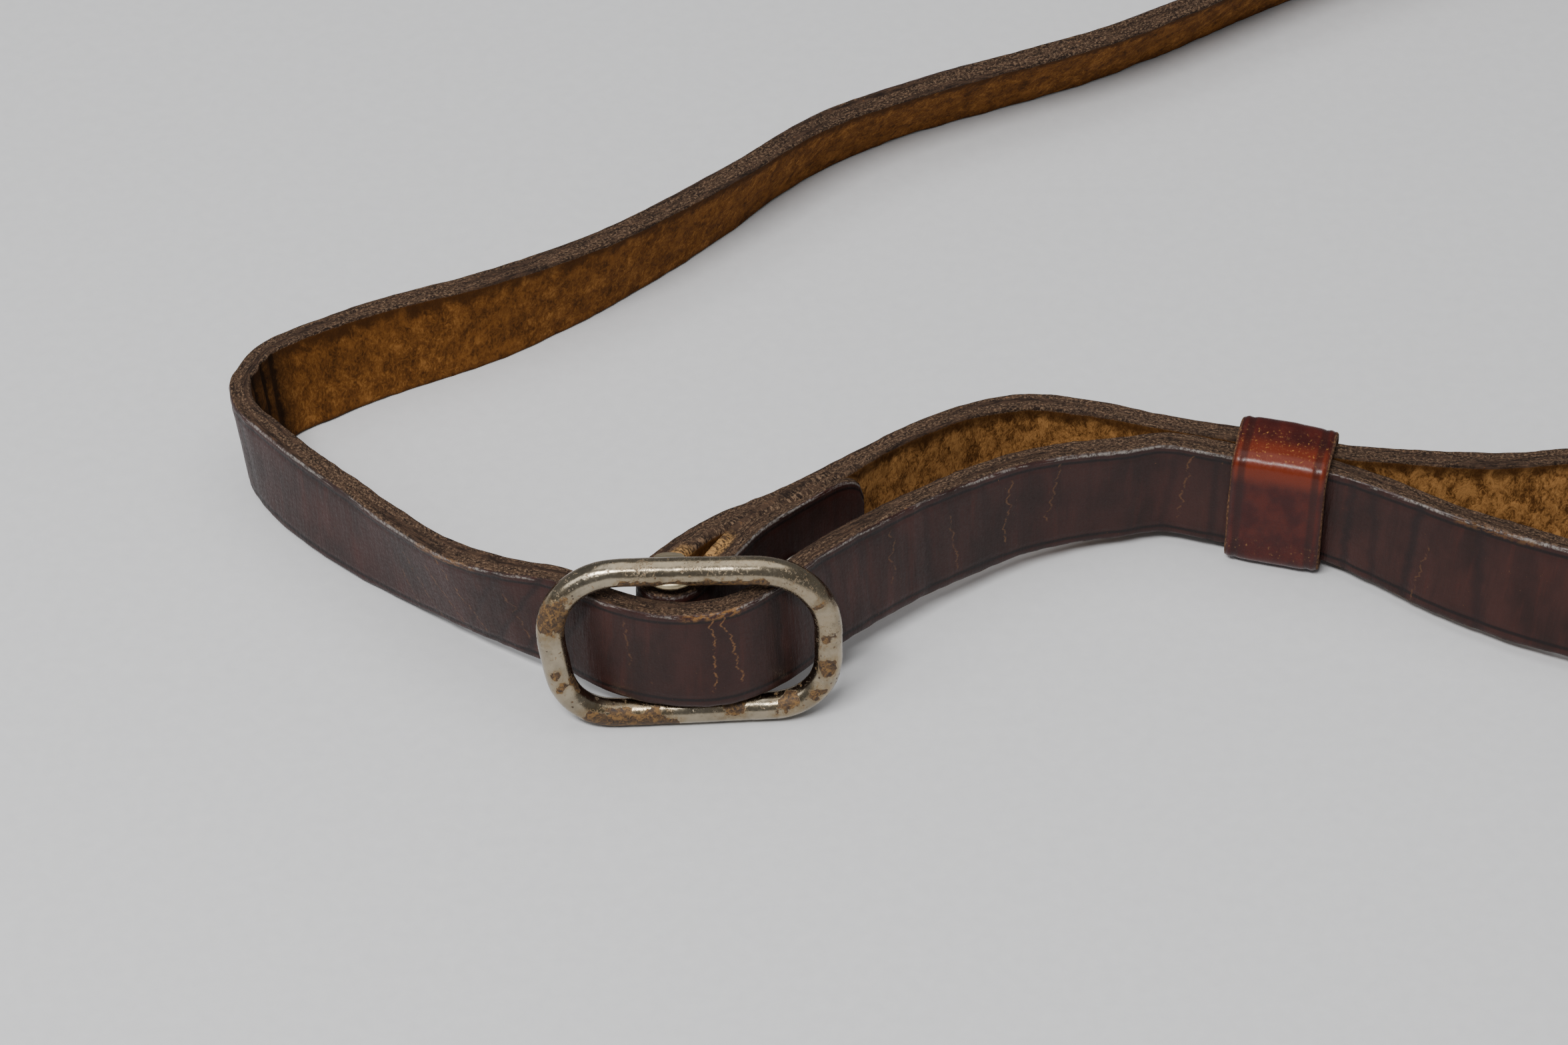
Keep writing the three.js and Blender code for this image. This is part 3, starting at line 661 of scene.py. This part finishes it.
def metal_look(name, bare, pitting=0.5, polish=0.13):
    """Worn nickel plate over steel. A piece's "rust" attribute says where it is rusty and stained."""
    look = Look(name)
    place = look.millimetres()
    cloud = look.noise(place, 0.35, 4, 0.6)
    fine = look.noise(place, 2.4, 5, 0.72)
    speck = look.noise(place, 1.3, 4, 0.75, 0.6)
    pits = look.cells(place, 1.15)
    dirt = look.ease(speck, 0.60, 0.68, 0.0, pitting)
    spots = look.times(look.ease(pits, 0.26, 0.12), look.ease(cloud, 0.5, 0.62, 0.0, pitting * 1.6))
    patches, stained, _ = look.attribute("rust")
    eaten = look.ease(look.add(patches, look.times(fine, 0.9)), 0.86, 1.02)
    rust = look.math("MAXIMUM", look.math("MAXIMUM", dirt, spots), eaten)
    film = look.times(stained, look.ease(speck, 0.36, 0.58, 0.35, 1.0))
    colour = look.mix(bare, tuple(0.72 * part for part in bare), look.ease(cloud, 0.4, 0.66))
    stain = look.mix(RUST_DARK, RUST, look.ease(fine, 0.38, 0.6))
    stain = look.mix(stain, RUST_ORANGE, look.ease(speck, 0.46, 0.62, 0.0, 0.9))
    colour = look.mix(look.mix(colour, RUST_FILM, film), stain, rust)
    relief = look.bump(look.add(look.times(fine, 0.2), look.times(rust, -0.5)), 0.22, 0.35)
    shine = look.ease(fine, 0.35, 0.7, polish, polish + 0.14)
    shine = look.add(shine, look.times(film, 0.12))
    return look.finish(Base_Color=colour, Normal=relief,
                       Metallic=look.math("SUBTRACT", 1.0, look.times(rust, 0.9), clamp=True),
                       Roughness=look.add(shine, look.times(rust, 0.42)))


# ---- the strap

SEEN_STEP = 0.65 * MM
FAR_STEP = 1.5 * MM
LOOP_AND_BEND = 0.8  # metres of strap from its folded end that are built finely
loop_strip = {key: values[::-1] for key, values in strip_of("loop_run", BEND).items()}
strap = resampled(joined([loop_strip, strip_of("long_run", BEND), strip_of("far_run", RUN_FLEX),
                          strip_of("end_run", END_FLEX)]),
                  lambda s: SEEN_STEP if s < LOOP_AND_BEND else FAR_STEP)
middles = (strap["low"] + strap["high"]) / 2
STRAP_WIDTH = np.linalg.norm(strap["high"][0] - strap["low"][0]) / MM


def along_at(point, after=0.0, before=10.0):
    """How far along the strap, in metres, it passes nearest to a point on plan."""
    away = np.linalg.norm(middles[:, :2] - np.asarray(point)[:2], axis=1)
    away = np.where((strap["s"] > after) & (strap["s"] < before), away, 1)
    return strap["s"][away.argmin()]


def middle_at(s):
    return Vector(middles[np.abs(strap["s"] - s).argmin()])


def box_middle(node):
    low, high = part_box(node)
    return (low + high) / 2


ring_s = along_at(RING_BAR)
fold_s = along_at(SWIVEL, before=ring_s)
window_s = along_at(box_middle("slider_frame"), after=ring_s)
keeper_s = along_at(box_middle("keeper_band"), after=ring_s)
bend_s = along_at(BEND)
run_s = along_at(RUN_FLEX)
end_s = along_at(END_FLEX)
rivet_s = along_at(box_middle("fold_rivet_post"), before=fold_s)


def pressed_together(reach=45 * MM, bare=6 * MM):
    """How much the flesh side swells, in mm, where the folded end lies against the rear run."""
    swell = np.zeros(len(middles))
    beyond = np.flatnonzero((strap["s"] > fold_s + bare) & (strap["s"] < fold_s + reach))
    for i in np.flatnonzero(strap["s"] < fold_s - bare):
        away = np.linalg.norm(middles[beyond] - middles[i], axis=1)
        j = beyond[away.argmin()]
        gap = away.min() - (strap["thick"][i] + strap["thick"][j]) / 2
        grown = min(1.2, max(0, gap / MM / 2 - 0.05))
        swell[i] = grown * smoothstep(fold_s - strap["s"][i], bare, bare + 3 * MM)
        swell[j] = grown * smoothstep(strap["s"][j] - fold_s, bare, bare + 3 * MM)
    for _ in range(2):
        swell = np.convolve(swell, np.full(9, 1 / 9), mode="same")
    return swell


swollen = pressed_together()


TIP_CLIP = 0.26  # share of the height lost at the folded end's tip
TIP_LENGTH = 5.0


def tip_shape(s, h):
    back = np.clip(1 - s / TIP_LENGTH, 0, 1)
    return -h * TIP_CLIP * (1 - np.sqrt(1 - back ** 2))


window_mm, keeper_mm, bend_mm = window_s / MM, keeper_s / MM, bend_s / MM
fold_mm, ring_mm = fold_s / MM, ring_s / MM
rear_mm = 2 * fold_mm - rivet_s / MM  # where the fold's rivet goes through the rear run
# Marks on the leather, each at a place along it, in mm.
# A wrinkle has a place, reach, depth and lean; it is pressed into the grain, and its trough is darkened with
# painted shade.
WRINKLES = [(keeper_mm - 9.5, 0.9, 0.16, 0.0), (keeper_mm - 14, 0.8, 0.10, 0.1),
            (keeper_mm - 19, 1.0, 0.18, 0.0), (keeper_mm - 30, 1.2, 0.14, 0.15),
            (keeper_mm + 9, 0.8, 0.12, 0.0), (keeper_mm + 16, 0.9, 0.10, -0.1),
            (window_mm + 21, 0.7, 0.12, -0.5), (window_mm + 25, 0.8, 0.16, -0.5),
            (window_mm + 30, 0.7, 0.15, -0.55), (window_mm + 35, 0.8, 0.10, -0.5),
            (window_mm - 13, 0.8, 0.14, 0.0), (window_mm - 24, 1.0, 0.12, 0.1),
            (window_mm - 30, 0.8, 0.10, 0.1), (window_mm - 40, 0.9, 0.10, 0.0),
            (bend_mm - 8, 1.0, 0.14, 0.1), (bend_mm + 6, 1.1, 0.12, 0.0)]
# A crack has a place, its low and high ends, lean and depth.
CRACKS = [(window_mm - 3.6, 2, 15.5, 0.02, 0.75), (window_mm - 8.0, 3, 15.5, 0.22, 0.7),
          (window_mm + 22, 1, 12, 0.4, 0.3), (window_mm + 30, 2, 15, 0.5, 0.5),
          (window_mm + 34, 0, 12, 0.5, 0.4), (window_mm + 39, 0, 14, 0.45, 0.3),
          (window_mm - 45, 2, 12, 0.1, 0.35), (window_mm - 52, 3, 14, -0.12, 0.45),
          (window_mm - 58, 5, 15, -0.2, 0.35), (keeper_mm + 14, 3, 15, -0.1, 0.35),
          (window_mm - 33, 5, 14, -0.1, 0.3), (keeper_mm - 20, 0, 10, -0.15, 0.25),
          (window_mm + 7, 6, 14, 0.1, 0.25), (bend_mm - 42, 1, 8, 0.3, 0.3)]
# A scuff on the grain's top edge has a place, reach and strength.
SCUFFS = [(window_mm - 3.5, 3.0, 0.55), (window_mm + 36, 4.0, 0.35), (keeper_mm - 30, 5.0, 0.2)]
# Painted shade on the suede, in the creases inside the bend and in the hollow round the fold, has a place, reach,
# softness and depth.
PAINTED_SHADES = [(bend_mm + 4, 3.5, 6.0, 0.6), (bend_mm + 1.5, 0.3, 0.7, 0.9), (bend_mm + 4.8, 0.3, 0.6, 0.9),
          (bend_mm + 7.6, 0.3, 0.8, 0.8), (fold_mm, 6.0, 4.0, 0.6)]
# Pale suede fibre has a place, reach, softness and strength.
FUZZY = [(rear_mm + 17, 4.0, 5.0, 0.7), ((rear_mm + ring_mm) / 2, (ring_mm - rear_mm) / 2, 8.0, 0.62)]
# A torn place along the top edge's flesh side has a place, reach and softness.
TORN = [(fold_mm + 10, 4.0, 3.0), (fold_mm - 10, 4.0, 3.0)]
strap_leather = strap_look()


def strap_relief(s, h, width, share, facing):
    grain = np.clip(facing, 0, 1) ** 2
    suede = np.clip(-facing, 0, 1) ** 2
    edge = 1 - grain - suede
    from_edge = np.minimum(h, width - h)
    concave = bell(s, keeper_mm + 40, 32) + bell(s, window_mm + 26, 12)
    wrinkles = 0.035 + 0.05 * concave
    folds = sum(depth * bell(s - lean * h, at, reach) for at, reach, depth, lean in WRINKLES)
    smooth_side = (-folds - 0.15 * bell(from_edge, 1.35, 0.3) + 0.09 * along_across(s, h, 8, 9, 1)
                   + wrinkles * along_across(s, h, 1.3, 9, 2) + 0.02 * along_across(s, h, 0.9, 1.5, 3)
                   - 0.12 * smoothstep(from_edge, 0.9, 0.2))
    hairy_side = (0.10 * along_across(s, h, 4, 4, 4) + 0.07 * along_across(s, h, 1.2, 1.2, 5)
                  + np.interp(s, strap["s"] / MM, swollen)
                  - 0.35 * bell(s, bend_mm + 1.5, 0.6) - 0.4 * bell(s, bend_mm + 4.8, 0.7)
                  - 0.25 * bell(s, bend_mm + 7.6, 0.7))
    cut_side = (0.16 * along_across(s, h, 11, 8, 6) + 0.10 * along_across(s, 3 * share, 1.5, 1.0, 7)
                + 0.05 * along_across(s, 3 * share, 0.9, 0.6, 8) - 0.10 * bell(share, 0.55, 0.2))
    return grain * smooth_side + suede * hairy_side + edge * cut_side


BEHIND_RAIL = 18.5 * MM  # from the slider's middle to where the strap passes behind its left rail
BEFORE_RUN_FLEX = 48 * MM
BEFORE_END_FLEX = 60 * MM
FLEX_REACH = 22 * MM
BEND_REACH = 13 * MM
cuts = [0, window_s + BEHIND_RAIL, run_s - BEFORE_RUN_FLEX, end_s - BEFORE_END_FLEX, strap["s"][-1]]
cuts = [strap["s"][np.abs(strap["s"] - cut).argmin()] for cut in cuts]
lengths = [part_of(strap, start, end) for start, end in zip(cuts, cuts[1:])]
names = [("strap_loop", "loop_run"), ("strap_bend", "long_run"), ("strap_run", "far_run"),
         ("strap_end", "end_run")]
strap_pieces = [ribbon(name, length, strap_relief, strap_leather,
                       ends=tip_shape if name == "strap_loop" else None)
                for (name, _), length in zip(names, lengths)]
for piece, (_, node) in zip(strap_pieces, names):
    in_place_of(node, piece)
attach(strap_pieces[0], "loop")
for piece, bodies, at, reach in [(strap_pieces[1], ("loop", "long"), bend_s, BEND_REACH),
                                 (strap_pieces[2], ("long", "far"), run_s, FLEX_REACH),
                                 (strap_pieces[3], ("far", "end"), end_s, FLEX_REACH)]:
    middle_at(at - reach)
    middle_at(at + reach)
    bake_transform(piece)


# ---- wire pieces

CAD_WIRE_SIDES = 14


def wire_path(node):
    """The centre of a closed wire as an even loop of points, its diameter and its plane's normal."""
    mesh = merged(node)
    points = np.array([vertex.co for vertex in mesh.verts])
    mesh.free()
    centre = points.mean(0)
    normal = np.linalg.svd(points - centre, full_matrices=False)[2][2]
    offset = (points - centre) @ normal
    flat = points[np.abs(offset) < 0.02 * MM]
    apart = np.linalg.norm(flat[:, None] - flat[None], axis=2)
    diameter = 2 * offset.max() / math.cos(math.pi / CAD_WIRE_SIDES)
    partner = np.abs(apart - diameter).argmin(1)
    centres = (flat + flat[partner]) / 2
    first = unit(np.cross(normal, UP))
    second = np.cross(normal, first)
    centres = centres[np.argsort(np.arctan2((centres - centre) @ second, (centres - centre) @ first))]
    keep = np.linalg.norm(centres - np.roll(centres, 1, 0), axis=1) > 0.05 * MM
    centres = centres[keep]
    closed = np.concatenate([centres, centres[:1]])
    lengths = lengths_of(closed)
    count = int(lengths[-1] / (0.35 * MM))
    even = np.stack([np.interp(np.linspace(0, lengths[-1], count, endpoint=False), lengths, closed[:, k])
                     for k in range(3)], 1)
    for _ in range(14):
        even = 0.5 * even + 0.25 * (np.roll(even, 1, 0) + np.roll(even, -1, 0))
    return even, diameter, normal


def wire(name, node, body, look, seed, sides=40):
    path, diameter, normal = wire_path(node)
    onwards = unit(np.roll(path, -1, 0) - np.roll(path, 1, 0))
    outwards = unit(np.cross(onwards, normal))
    rays = spokes(outwards, normal, sides)
    plain = (path[:, None] + rays * diameter / 2).reshape(-1, 3)
    grown = 0.05 * noise(plain / (5 * MM), seed) + 0.03 * noise(plain / (1.6 * MM), seed + 1)
    pits = np.clip(noise(plain / (0.9 * MM), seed + 2) - 0.45, 0, 1)
    points = plain + rays.reshape(-1, 3) * ((grown - 0.10 * pits) * MM)[:, None]
    piece = mesh_object(name, points, grid_faces(len(path), sides, closed=True), look)
    face_outwards(piece)
    in_place_of(node, piece, body)
    return piece


slider_path = wire_path("slider_frame")[0]
slider_low = slider_path.min(0)
slider_span = slider_path.max(0) - slider_low


def on_slider(x_share, z_share, forward=1.3, upward=0.0):
    """A place in millimetres on the slider's wire, from shares of its width and height."""
    shares = (slider_path - slider_low) / slider_span
    nearest = np.hypot(shares[:, 0] - x_share, shares[:, 2] - z_share).argmin()
    return slider_path[nearest] / MM + np.array([0, -forward, upward])


def rust_spot(x_share, z_share, reach, strength, forward=1.3, upward=0.0):
    place = on_slider(x_share, z_share, forward, upward)
    return place - 0.2, place + 0.2, reach, strength


# Each patch of rust runs from one place on the slider to another, with its reach and strength.
SLIDER_RUST = [rust_spot(*spot) for spot in [
    (0.0, 0.74, 2.4, 1.0), (0.02, 0.86, 1.3, 0.6), (0.0, 0.36, 0.6, 0.8, 1.6), (0.0, 0.24, 0.5, 0.8, 1.6),
    (0.66, 0.0, 2.0, 0.7, 0.6, 1.6), (1.0, 0.34, 1.2, 0.95, 1.6), (0.97, 0.12, 1.1, 0.9, 1.4, 0.6),
    (0.86, 0.0, 1.6, 0.8, 1.0, 1.2), (1.0, 0.55, 0.7, 0.8, 1.6), (0.99, 0.78, 0.9, 0.6, 1.5),
    (0.93, 0.95, 3.2, 0.40, 1.5), (0.99, 0.6, 3.0, 0.36, 1.5), (0.60, 1.0, 6.0, 0.36, 0.9, 1.4),
    (0.32, 1.0, 2.0, 0.42, 0.9, 1.4)]]
SLIDER_RUST += [
    (on_slider(0.13, 0.0, 1.6, -0.6), on_slider(0.40, 0.0, 1.5, -0.3), 2.0, 0.9),
    (on_slider(0.26, 1.0, 1.8, -0.8), on_slider(0.78, 1.0, 1.8, -0.8), 0.9, 0.8),
    (on_slider(0.04, 0.2, 0.7) + [1.75, 0, 0], on_slider(0.02, 0.75, 0.7) + [1.75, 0, 0], 0.8, 0.8)]


def rusted(piece):
    """Marks how rusty and how stained each vertex of the slider's metal is."""
    points = points_of(piece) / MM
    ragged = 0.22 * noise(points / 1.4, 60) + 0.14 * noise(points / 0.6, 61)
    rust, stain = np.zeros(len(points)), np.zeros(len(points))
    for start, end, reach, strength in SLIDER_RUST:
        run = end - start
        share = np.clip((points - start) @ run / (run @ run), 0, 1)
        away = np.linalg.norm(points - start - share[:, None] * run, axis=1)
        away = away + ragged * (1.2 + 1.4 * reach)
        rust = np.maximum(rust, strength * smoothstep(away, 1.2 * reach, 0.5 * reach))
        stain = np.maximum(stain, 0.75 * strength * smoothstep(away, 1.9 * reach, 0.7 * reach))
    marked(piece, "rust", rust, stain, 0 * rust)


rusted(wire("slider_wire", "slider_frame", "slider", metal_look("slider_nickel", NICKEL, pitting=0.7), 20))
wire("ring_wire", "ring", "ring", metal_look("ring_nickel", NICKEL, pitting=0.6), 30)


BAR_SIDES = 24
LUMP_WIDTH, LUMP_HEIGHT = 3.7, 1.15


def brazed_bar():
    """The bar, with the lumps of braze that hold it to the slider's rails."""
    points = points_of(frame["nodes"]["slider_bar"])
    axis = unit(np.array(joints["slider_swivel"]["axis"]))
    reach = (points - SWIVEL) @ axis
    low, high = reach.min(), reach.max()
    radius = np.linalg.norm(points - SWIVEL - reach[:, None] * axis, axis=1).max()
    low, high = low + 0.3 * MM, high - 0.7 * MM  # its ends stay inside the rails
    t = np.linspace(0, 1, 40)[:, None]
    flare = bell(t, 0, 0.09) + bell(t, 1, 0.09)
    path = SWIVEL + (low + (high - low) * t) * axis
    onwards = unit(np.gradient(path, axis=0))
    first = unit(np.cross(onwards, [0, 1, 0]))
    rays = spokes(first * radius * (1 + 0.5 * flare),
                  np.cross(onwards, first) * radius * (1 + 0.15 * flare), BAR_SIDES)
    data = bpy.data.meshes.new("slider_bar_brazed")
    data.from_pydata((path[:, None] + rays).reshape(-1, 3).tolist(), [], tube_faces(len(path), BAR_SIDES))
    mesh = bmesh.new()
    mesh.from_mesh(data)
    # A lump at each end has its place along the bar, its depth and its drop.
    for reach, depth, drop in [(high - radius * 0.8, 3.3, 0.45), (low + radius * 0.8, 2.1, 0)]:
        at = SWIVEL + reach * axis
        rail = slider_path[np.linalg.norm(slider_path - at, axis=1).argmin()]
        lump = bmesh.ops.create_uvsphere(mesh, u_segments=24, v_segments=14, radius=1)["verts"]
        middle = Vector(at * 0.35 + rail * 0.65 - axis * drop * MM)
        for vertex in lump:
            x, y, z = vertex.co
            vertex.co = Vector((x * LUMP_WIDTH, y * depth, z * LUMP_HEIGHT)) * MM + middle
    mesh.to_mesh(data)
    mesh.free()
    data.materials.append(metal_look("braze", BRASS, pitting=0.6, polish=0.36))
    piece = linked("slider_bar_brazed", data)
    with_modifier(piece, "REMESH", mode="VOXEL", voxel_size=0.3 * MM)
    with_modifier(piece, "SMOOTH", factor=0.5, iterations=8)
    applied(piece)
    smooth_faces(piece.data)
    return piece


in_place_of("slider_bar", brazed_bar(), "slider")


# ---- the keeper

KEEPER_LEATHER = 1.3 * MM
KEEPER_ROUND = 2.3 * MM  # outside corner radius
LAP_REACH = 5 * MM


def keeper_band():
    """A band of leather that goes once round both layers and laps over its own start behind."""
    axis = np.array(joints["keeper_slide"]["axis"])
    points = points_of(frame["nodes"]["keeper_band"])
    behind = np.cross(UP, axis)
    along, depth, height = points @ axis, points @ behind, points[:, 2]
    tall = np.abs(height - height.mean()) > LAP_REACH + 1 * MM
    front, back = depth[tall].min(), depth[tall].max()
    low, high = height.min(), height.max()
    r = KEEPER_ROUND
    outline = Outline()

    def side(start, end, normal):
        count = max(2, int(np.linalg.norm(np.subtract(end, start)) / (0.4 * MM)))
        outline.straight(start, end, normal, np.linspace(0, 1, count, endpoint=False))

    def corner(centre, from_degrees):
        outline.corner(centre, r, np.linspace(from_degrees, from_degrees - 90, 10, endpoint=False))

    middle = (low + high) / 2
    side([back, middle + LAP_REACH * 0.4], [back, low + r], [1, 0])
    corner([back - r, low + r], 0)
    side([back - r, low], [front + r, low], [0, -1])
    corner([front + r, low + r], -90)
    low_front = len(outline.places)
    side([front, low + r], [front, high - r], [-1, 0])
    top_front = len(outline.places)
    corner([front + r, high - r], -180)
    side([front + r, high], [back - r, high], [0, 1])
    corner([back - r, high - r], -270)
    side([back, high - r], [back, middle - LAP_REACH], [1, 0])
    path, outs = np.array(outline.places), np.array(outline.normals)
    s = lengths_of(path)
    lapped = smoothstep(s, s[-1] - 2 * LAP_REACH - 2.5 * MM, s[-1] - 2 * LAP_REACH + 0.5 * MM)
    path = path + outs * (lapped * 0.8 * KEEPER_LEATHER)[:, None]
    for _ in range(3):
        path[1:-1] = 0.5 * path[1:-1] + 0.25 * (path[:-2] + path[2:])
    world = path[:, :1] * behind + path[:, 1:] * UP
    out = unit(outs[:, :1] * behind + outs[:, 1:] * UP)
    strip = {"low": world + axis * along.min(), "high": world + axis * along.max(), "out": out,
             "thick": np.full(len(path), KEEPER_LEATHER), "s": s}
    length = (along.max() - along.min()) / MM
    band = {"low": s[low_front] / MM + 1.5, "top": s[top_front] / MM + 2.2}

    def relief(s, h, width, share, facing):
        grain = np.clip(facing, 0, 1) ** 2
        from_edge = np.minimum(h, width - h)
        swell = 0.12 * along_across(s, h, 6, 6, 40) + 0.03 * along_across(s, h, 1.2, 1.2, 41)
        outside = swell - 0.14 * bell(from_edge, 1.5, 0.4) - 0.25 * smoothstep(from_edge, 0.9, 0.1)
        return grain * outside + (1 - np.abs(facing)) * 0.12 * along_across(s, h, 5, 1, 42)

    look = keeper_look(length, band)
    return ribbon("keeper", strip, relief, look, across_points=34, edge_points=3)


in_place_of("keeper_band", keeper_band(), "keeper")

rivet_metal = metal_look("rivet_steel", STEEL, pitting=0.8, polish=0.34)


def dressed(node, look, bevel):
    """Keeps a CAD node, with softened edges and a better finish."""
    piece = frame["nodes"][node]
    piece.data.materials.clear()
    piece.data.materials.append(look)
    with_modifier(piece, "WELD", merge_threshold=2e-6)
    with_modifier(piece, "BEVEL", width=bevel * MM, segments=3, angle_limit=math.radians(35))


dressed("keeper_staple", rivet_metal, 0.22)


# ---- rivets

RIVET_DOME = 1.1 * MM


def rivet_head(name, node, body, outwards, sides=48):
    """A domed head in place of a post's head or a cap, seen from outside the leather."""
    points = points_of(frame["nodes"][node])
    reach = points @ outwards
    top = reach.max()
    ring = points[reach > top - RIVET_DOME * 0.8]
    centre = (ring.max(0) + ring.min(0)) / 2
    centre = centre + outwards * (top - centre @ outwards)
    radius = np.linalg.norm(ring - centre - ((ring - centre) @ outwards)[:, None] * outwards, axis=1).max()
    first = unit(np.cross(outwards, UP))
    rays = spokes(first, np.cross(outwards, first), sides)
    # The head's outline: shares of its radius and, below its top, of its height.
    shape = [(0.0, -0.10), (0.16, -0.03), (0.35, -0.06), (0.6, -0.20), (0.82, -0.48), (0.95, -0.80),
             (1.0, -1.02), (0.97, -1.14), (0.5, -1.16), (0.0, -1.16)]
    points = np.concatenate([centre + outwards * drop * RIVET_DOME + max(r, 0.004) * radius * rays
                             for r, drop in shape])
    points = points + outwards * (0.05 * MM * noise(points / (1.5 * MM), 50))[:, None]
    piece = mesh_object(name, points, tube_faces(len(shape), sides), rivet_metal)
    face_outwards(piece)
    with_modifier(piece, "SUBSURF", levels=1, render_levels=1)
    in_place_of(node, piece, body)


for rivet, body in [("fold_rivet", "loop"), ("ring_tab_rivet", "ring_tab"), ("end_rivet_1", "end"),
                    ("end_rivet_2", "end")]:
    post, cap = f"{rivet}_post", f"{rivet}_cap"
    cap_points = points_of(frame["nodes"][cap])
    axis = np.linalg.svd(cap_points - cap_points.mean(0), full_matrices=False)[2][2]
    if axis @ np.array(box_middle(cap) - box_middle(post)) < 0:
        axis = -axis
    rivet_head(f"{rivet}_cap_head", cap, body, axis)
    rivet_head(f"{rivet}_post_head", post, body, -axis)


# ---- the tabs

HOLE = 7 * MM
SLIT = (9 * MM, 1.2 * MM)
CUTTER_REACH = 6 * MM  # each way from the middle of the leather


def keyhole_cutter(name, opening, across, towards):
    """A round hole with a slit towards the strap, as one cutter through a tab."""
    middle = Vector((np.array(opening[0]) + np.array(opening[1])) / 2)
    towards, across, up = Vector(towards), Vector(across), Vector(UP)
    outline, r, half = [], HOLE / 2, SLIT[1] / 2
    start = math.asin(half / r)
    for turn in np.linspace(start, 2 * math.pi - start, 44):
        outline.append(towards * math.cos(turn) * r + up * math.sin(turn) * r)
    for turn in np.linspace(-math.pi / 2, math.pi / 2, 9):
        outline.append(towards * (SLIT[0] + math.cos(turn) * half) + up * math.sin(turn) * half)
    vertices = [middle + point + across * side * CUTTER_REACH for side in (-1, 1) for point in outline]
    cutter = mesh_object(name, vertices, tube_faces(2, len(outline)), rivet_metal)
    face_outwards(cutter)
    cutter.hide_render = True
    return cutter


def keep_places(piece, before):
    """Gives the vertices that a cut made the places of their nearest neighbours before it."""
    tree = KDTree(len(before))
    for i, (point, _) in enumerate(before):
        tree.insert(point, i)
    tree.balance()
    for vertex in piece.data.vertices:
        found = tree.find_n(vertex.co, 3)
        shares = [1 / (distance + 1e-7) for _, _, distance in found]
        place = sum((before[i][1] * share for (_, i, _), share in zip(found, shares)), Vector())
        piece.data.attributes["place"].data[vertex.index].vector = place / sum(shares)


def tab_relief(s, h, width, share, facing):
    grain = np.clip(facing, 0, 1) ** 2
    from_edge = np.minimum(h, width - h)
    outside = (-0.16 * bell(from_edge, 2.0, 0.35) + 0.08 * along_across(s, h, 9, 9, 60)
               + 0.02 * along_across(s, h, 1.2, 1.2, 61))
    cut_side = 0.10 * along_across(s, 3 * share, 2.0, 1.2, 62)
    return grain * outside + (1 - np.abs(facing)) * cut_side


def tab(name, node, body, start, opening, towards, look):
    strip = resampled(strip_of(node, start), lambda s: 0.8 * MM)
    piece = ribbon(name, strip, tab_relief, look, across_points=26, edge_points=5)
    across = np.cross(towards, UP)
    cutter = keyhole_cutter(f"{name}_cutter", opening, across, towards)
    with_modifier(piece, "BOOLEAN", object=cutter, operation="DIFFERENCE", solver="EXACT")
    before = [(vertex.co.copy(), piece.data.attributes["place"].data[vertex.index].vector.copy())
              for vertex in piece.data.vertices]
    applied(piece)
    bpy.data.objects.remove(cutter)
    keep_places(piece, before)
    mark_sharp(piece, 50)
    in_place_of(node, piece, body)


tab_leather = tab_look()
ring_towards = unit(np.array([*(RING_BAR - FAR_BAR)[:2], 0]))
tab("ring_tab_leather", "ring_tab", "ring_tab", FAR_BAR, openings["ring_tab_keyhole"],
    ring_towards, tab_leather)
heading = unit(middles[-1] - middles[-12])
tab("end_tab_leather", "end_tab", "end", middles[-1], openings["end_tab_keyhole"], -heading, tab_leather)


# ---- floor, light and camera

FLOOR_GREY = (0.62, 0.62, 0.625)
FLOOR_PALE = (0.70, 0.70, 0.705)
FLOOR_REACH = 4.0


def floor():
    look = Look("floor")
    fine = look.noise(look.millimetres(), 0.5, 3)
    grey = look.finish(Base_Color=look.mix(FLOOR_GREY, FLOOR_PALE, fine), Roughness=0.9,
                       Specular_IOR_Level=0.2)
    corners = [(x * FLOOR_REACH, y * FLOOR_REACH, 0) for x, y in [(-1, -1), (1, -1), (1, 1), (-1, 1)]]
    mesh_object("floor", corners, [(0, 1, 2, 3)], grey)


floor()
# Each lamp has a place from the slider, a size and a power.
LAMPS = {"key": ((-0.24, -0.48, 0.86), (0.52, 0.16), 11.0),
         "side": ((-0.66, -0.22, 0.60), (0.30, 0.45), 1.2),
         "overhead": ((0.1, 0.2, 0.95), (1.1, 0.8), 3.8)}
slider_middle = box_middle("slider_frame")
for name, (from_slider, size, power) in LAMPS.items():
    lamp_data = bpy.data.lights.new(name, "AREA")
    lamp_data.shape = "RECTANGLE"
    lamp_data.size, lamp_data.size_y = size
    lamp_data.energy = power
    lamp = linked(name, lamp_data)
    lamp.location = slider_middle + Vector(from_slider)
    lamp.rotation_euler = (slider_middle - lamp.location).to_track_quat("-Z", "Y").to_euler()
world = bpy.data.worlds.new("studio")
bpy.context.scene.world = world
world.use_nodes = True
background = world.node_tree.nodes["Background"]
background.inputs["Color"].default_value = (0.95, 0.97, 1.0, 1)
background.inputs["Strength"].default_value = 0.23

CAMERA_FROM_SWIVEL = (0.014707, -0.412383, 0.401705)
CAMERA_TILT = 48
camera_data = bpy.data.cameras.new("camera")
camera_data.lens = 100
camera_data.sensor_width = 36
camera = linked("camera", camera_data)
camera.location = Vector(SWIVEL) + Vector(CAMERA_FROM_SWIVEL)
camera.rotation_euler = (math.radians(CAMERA_TILT), 0, 0)
bpy.context.scene.camera = camera
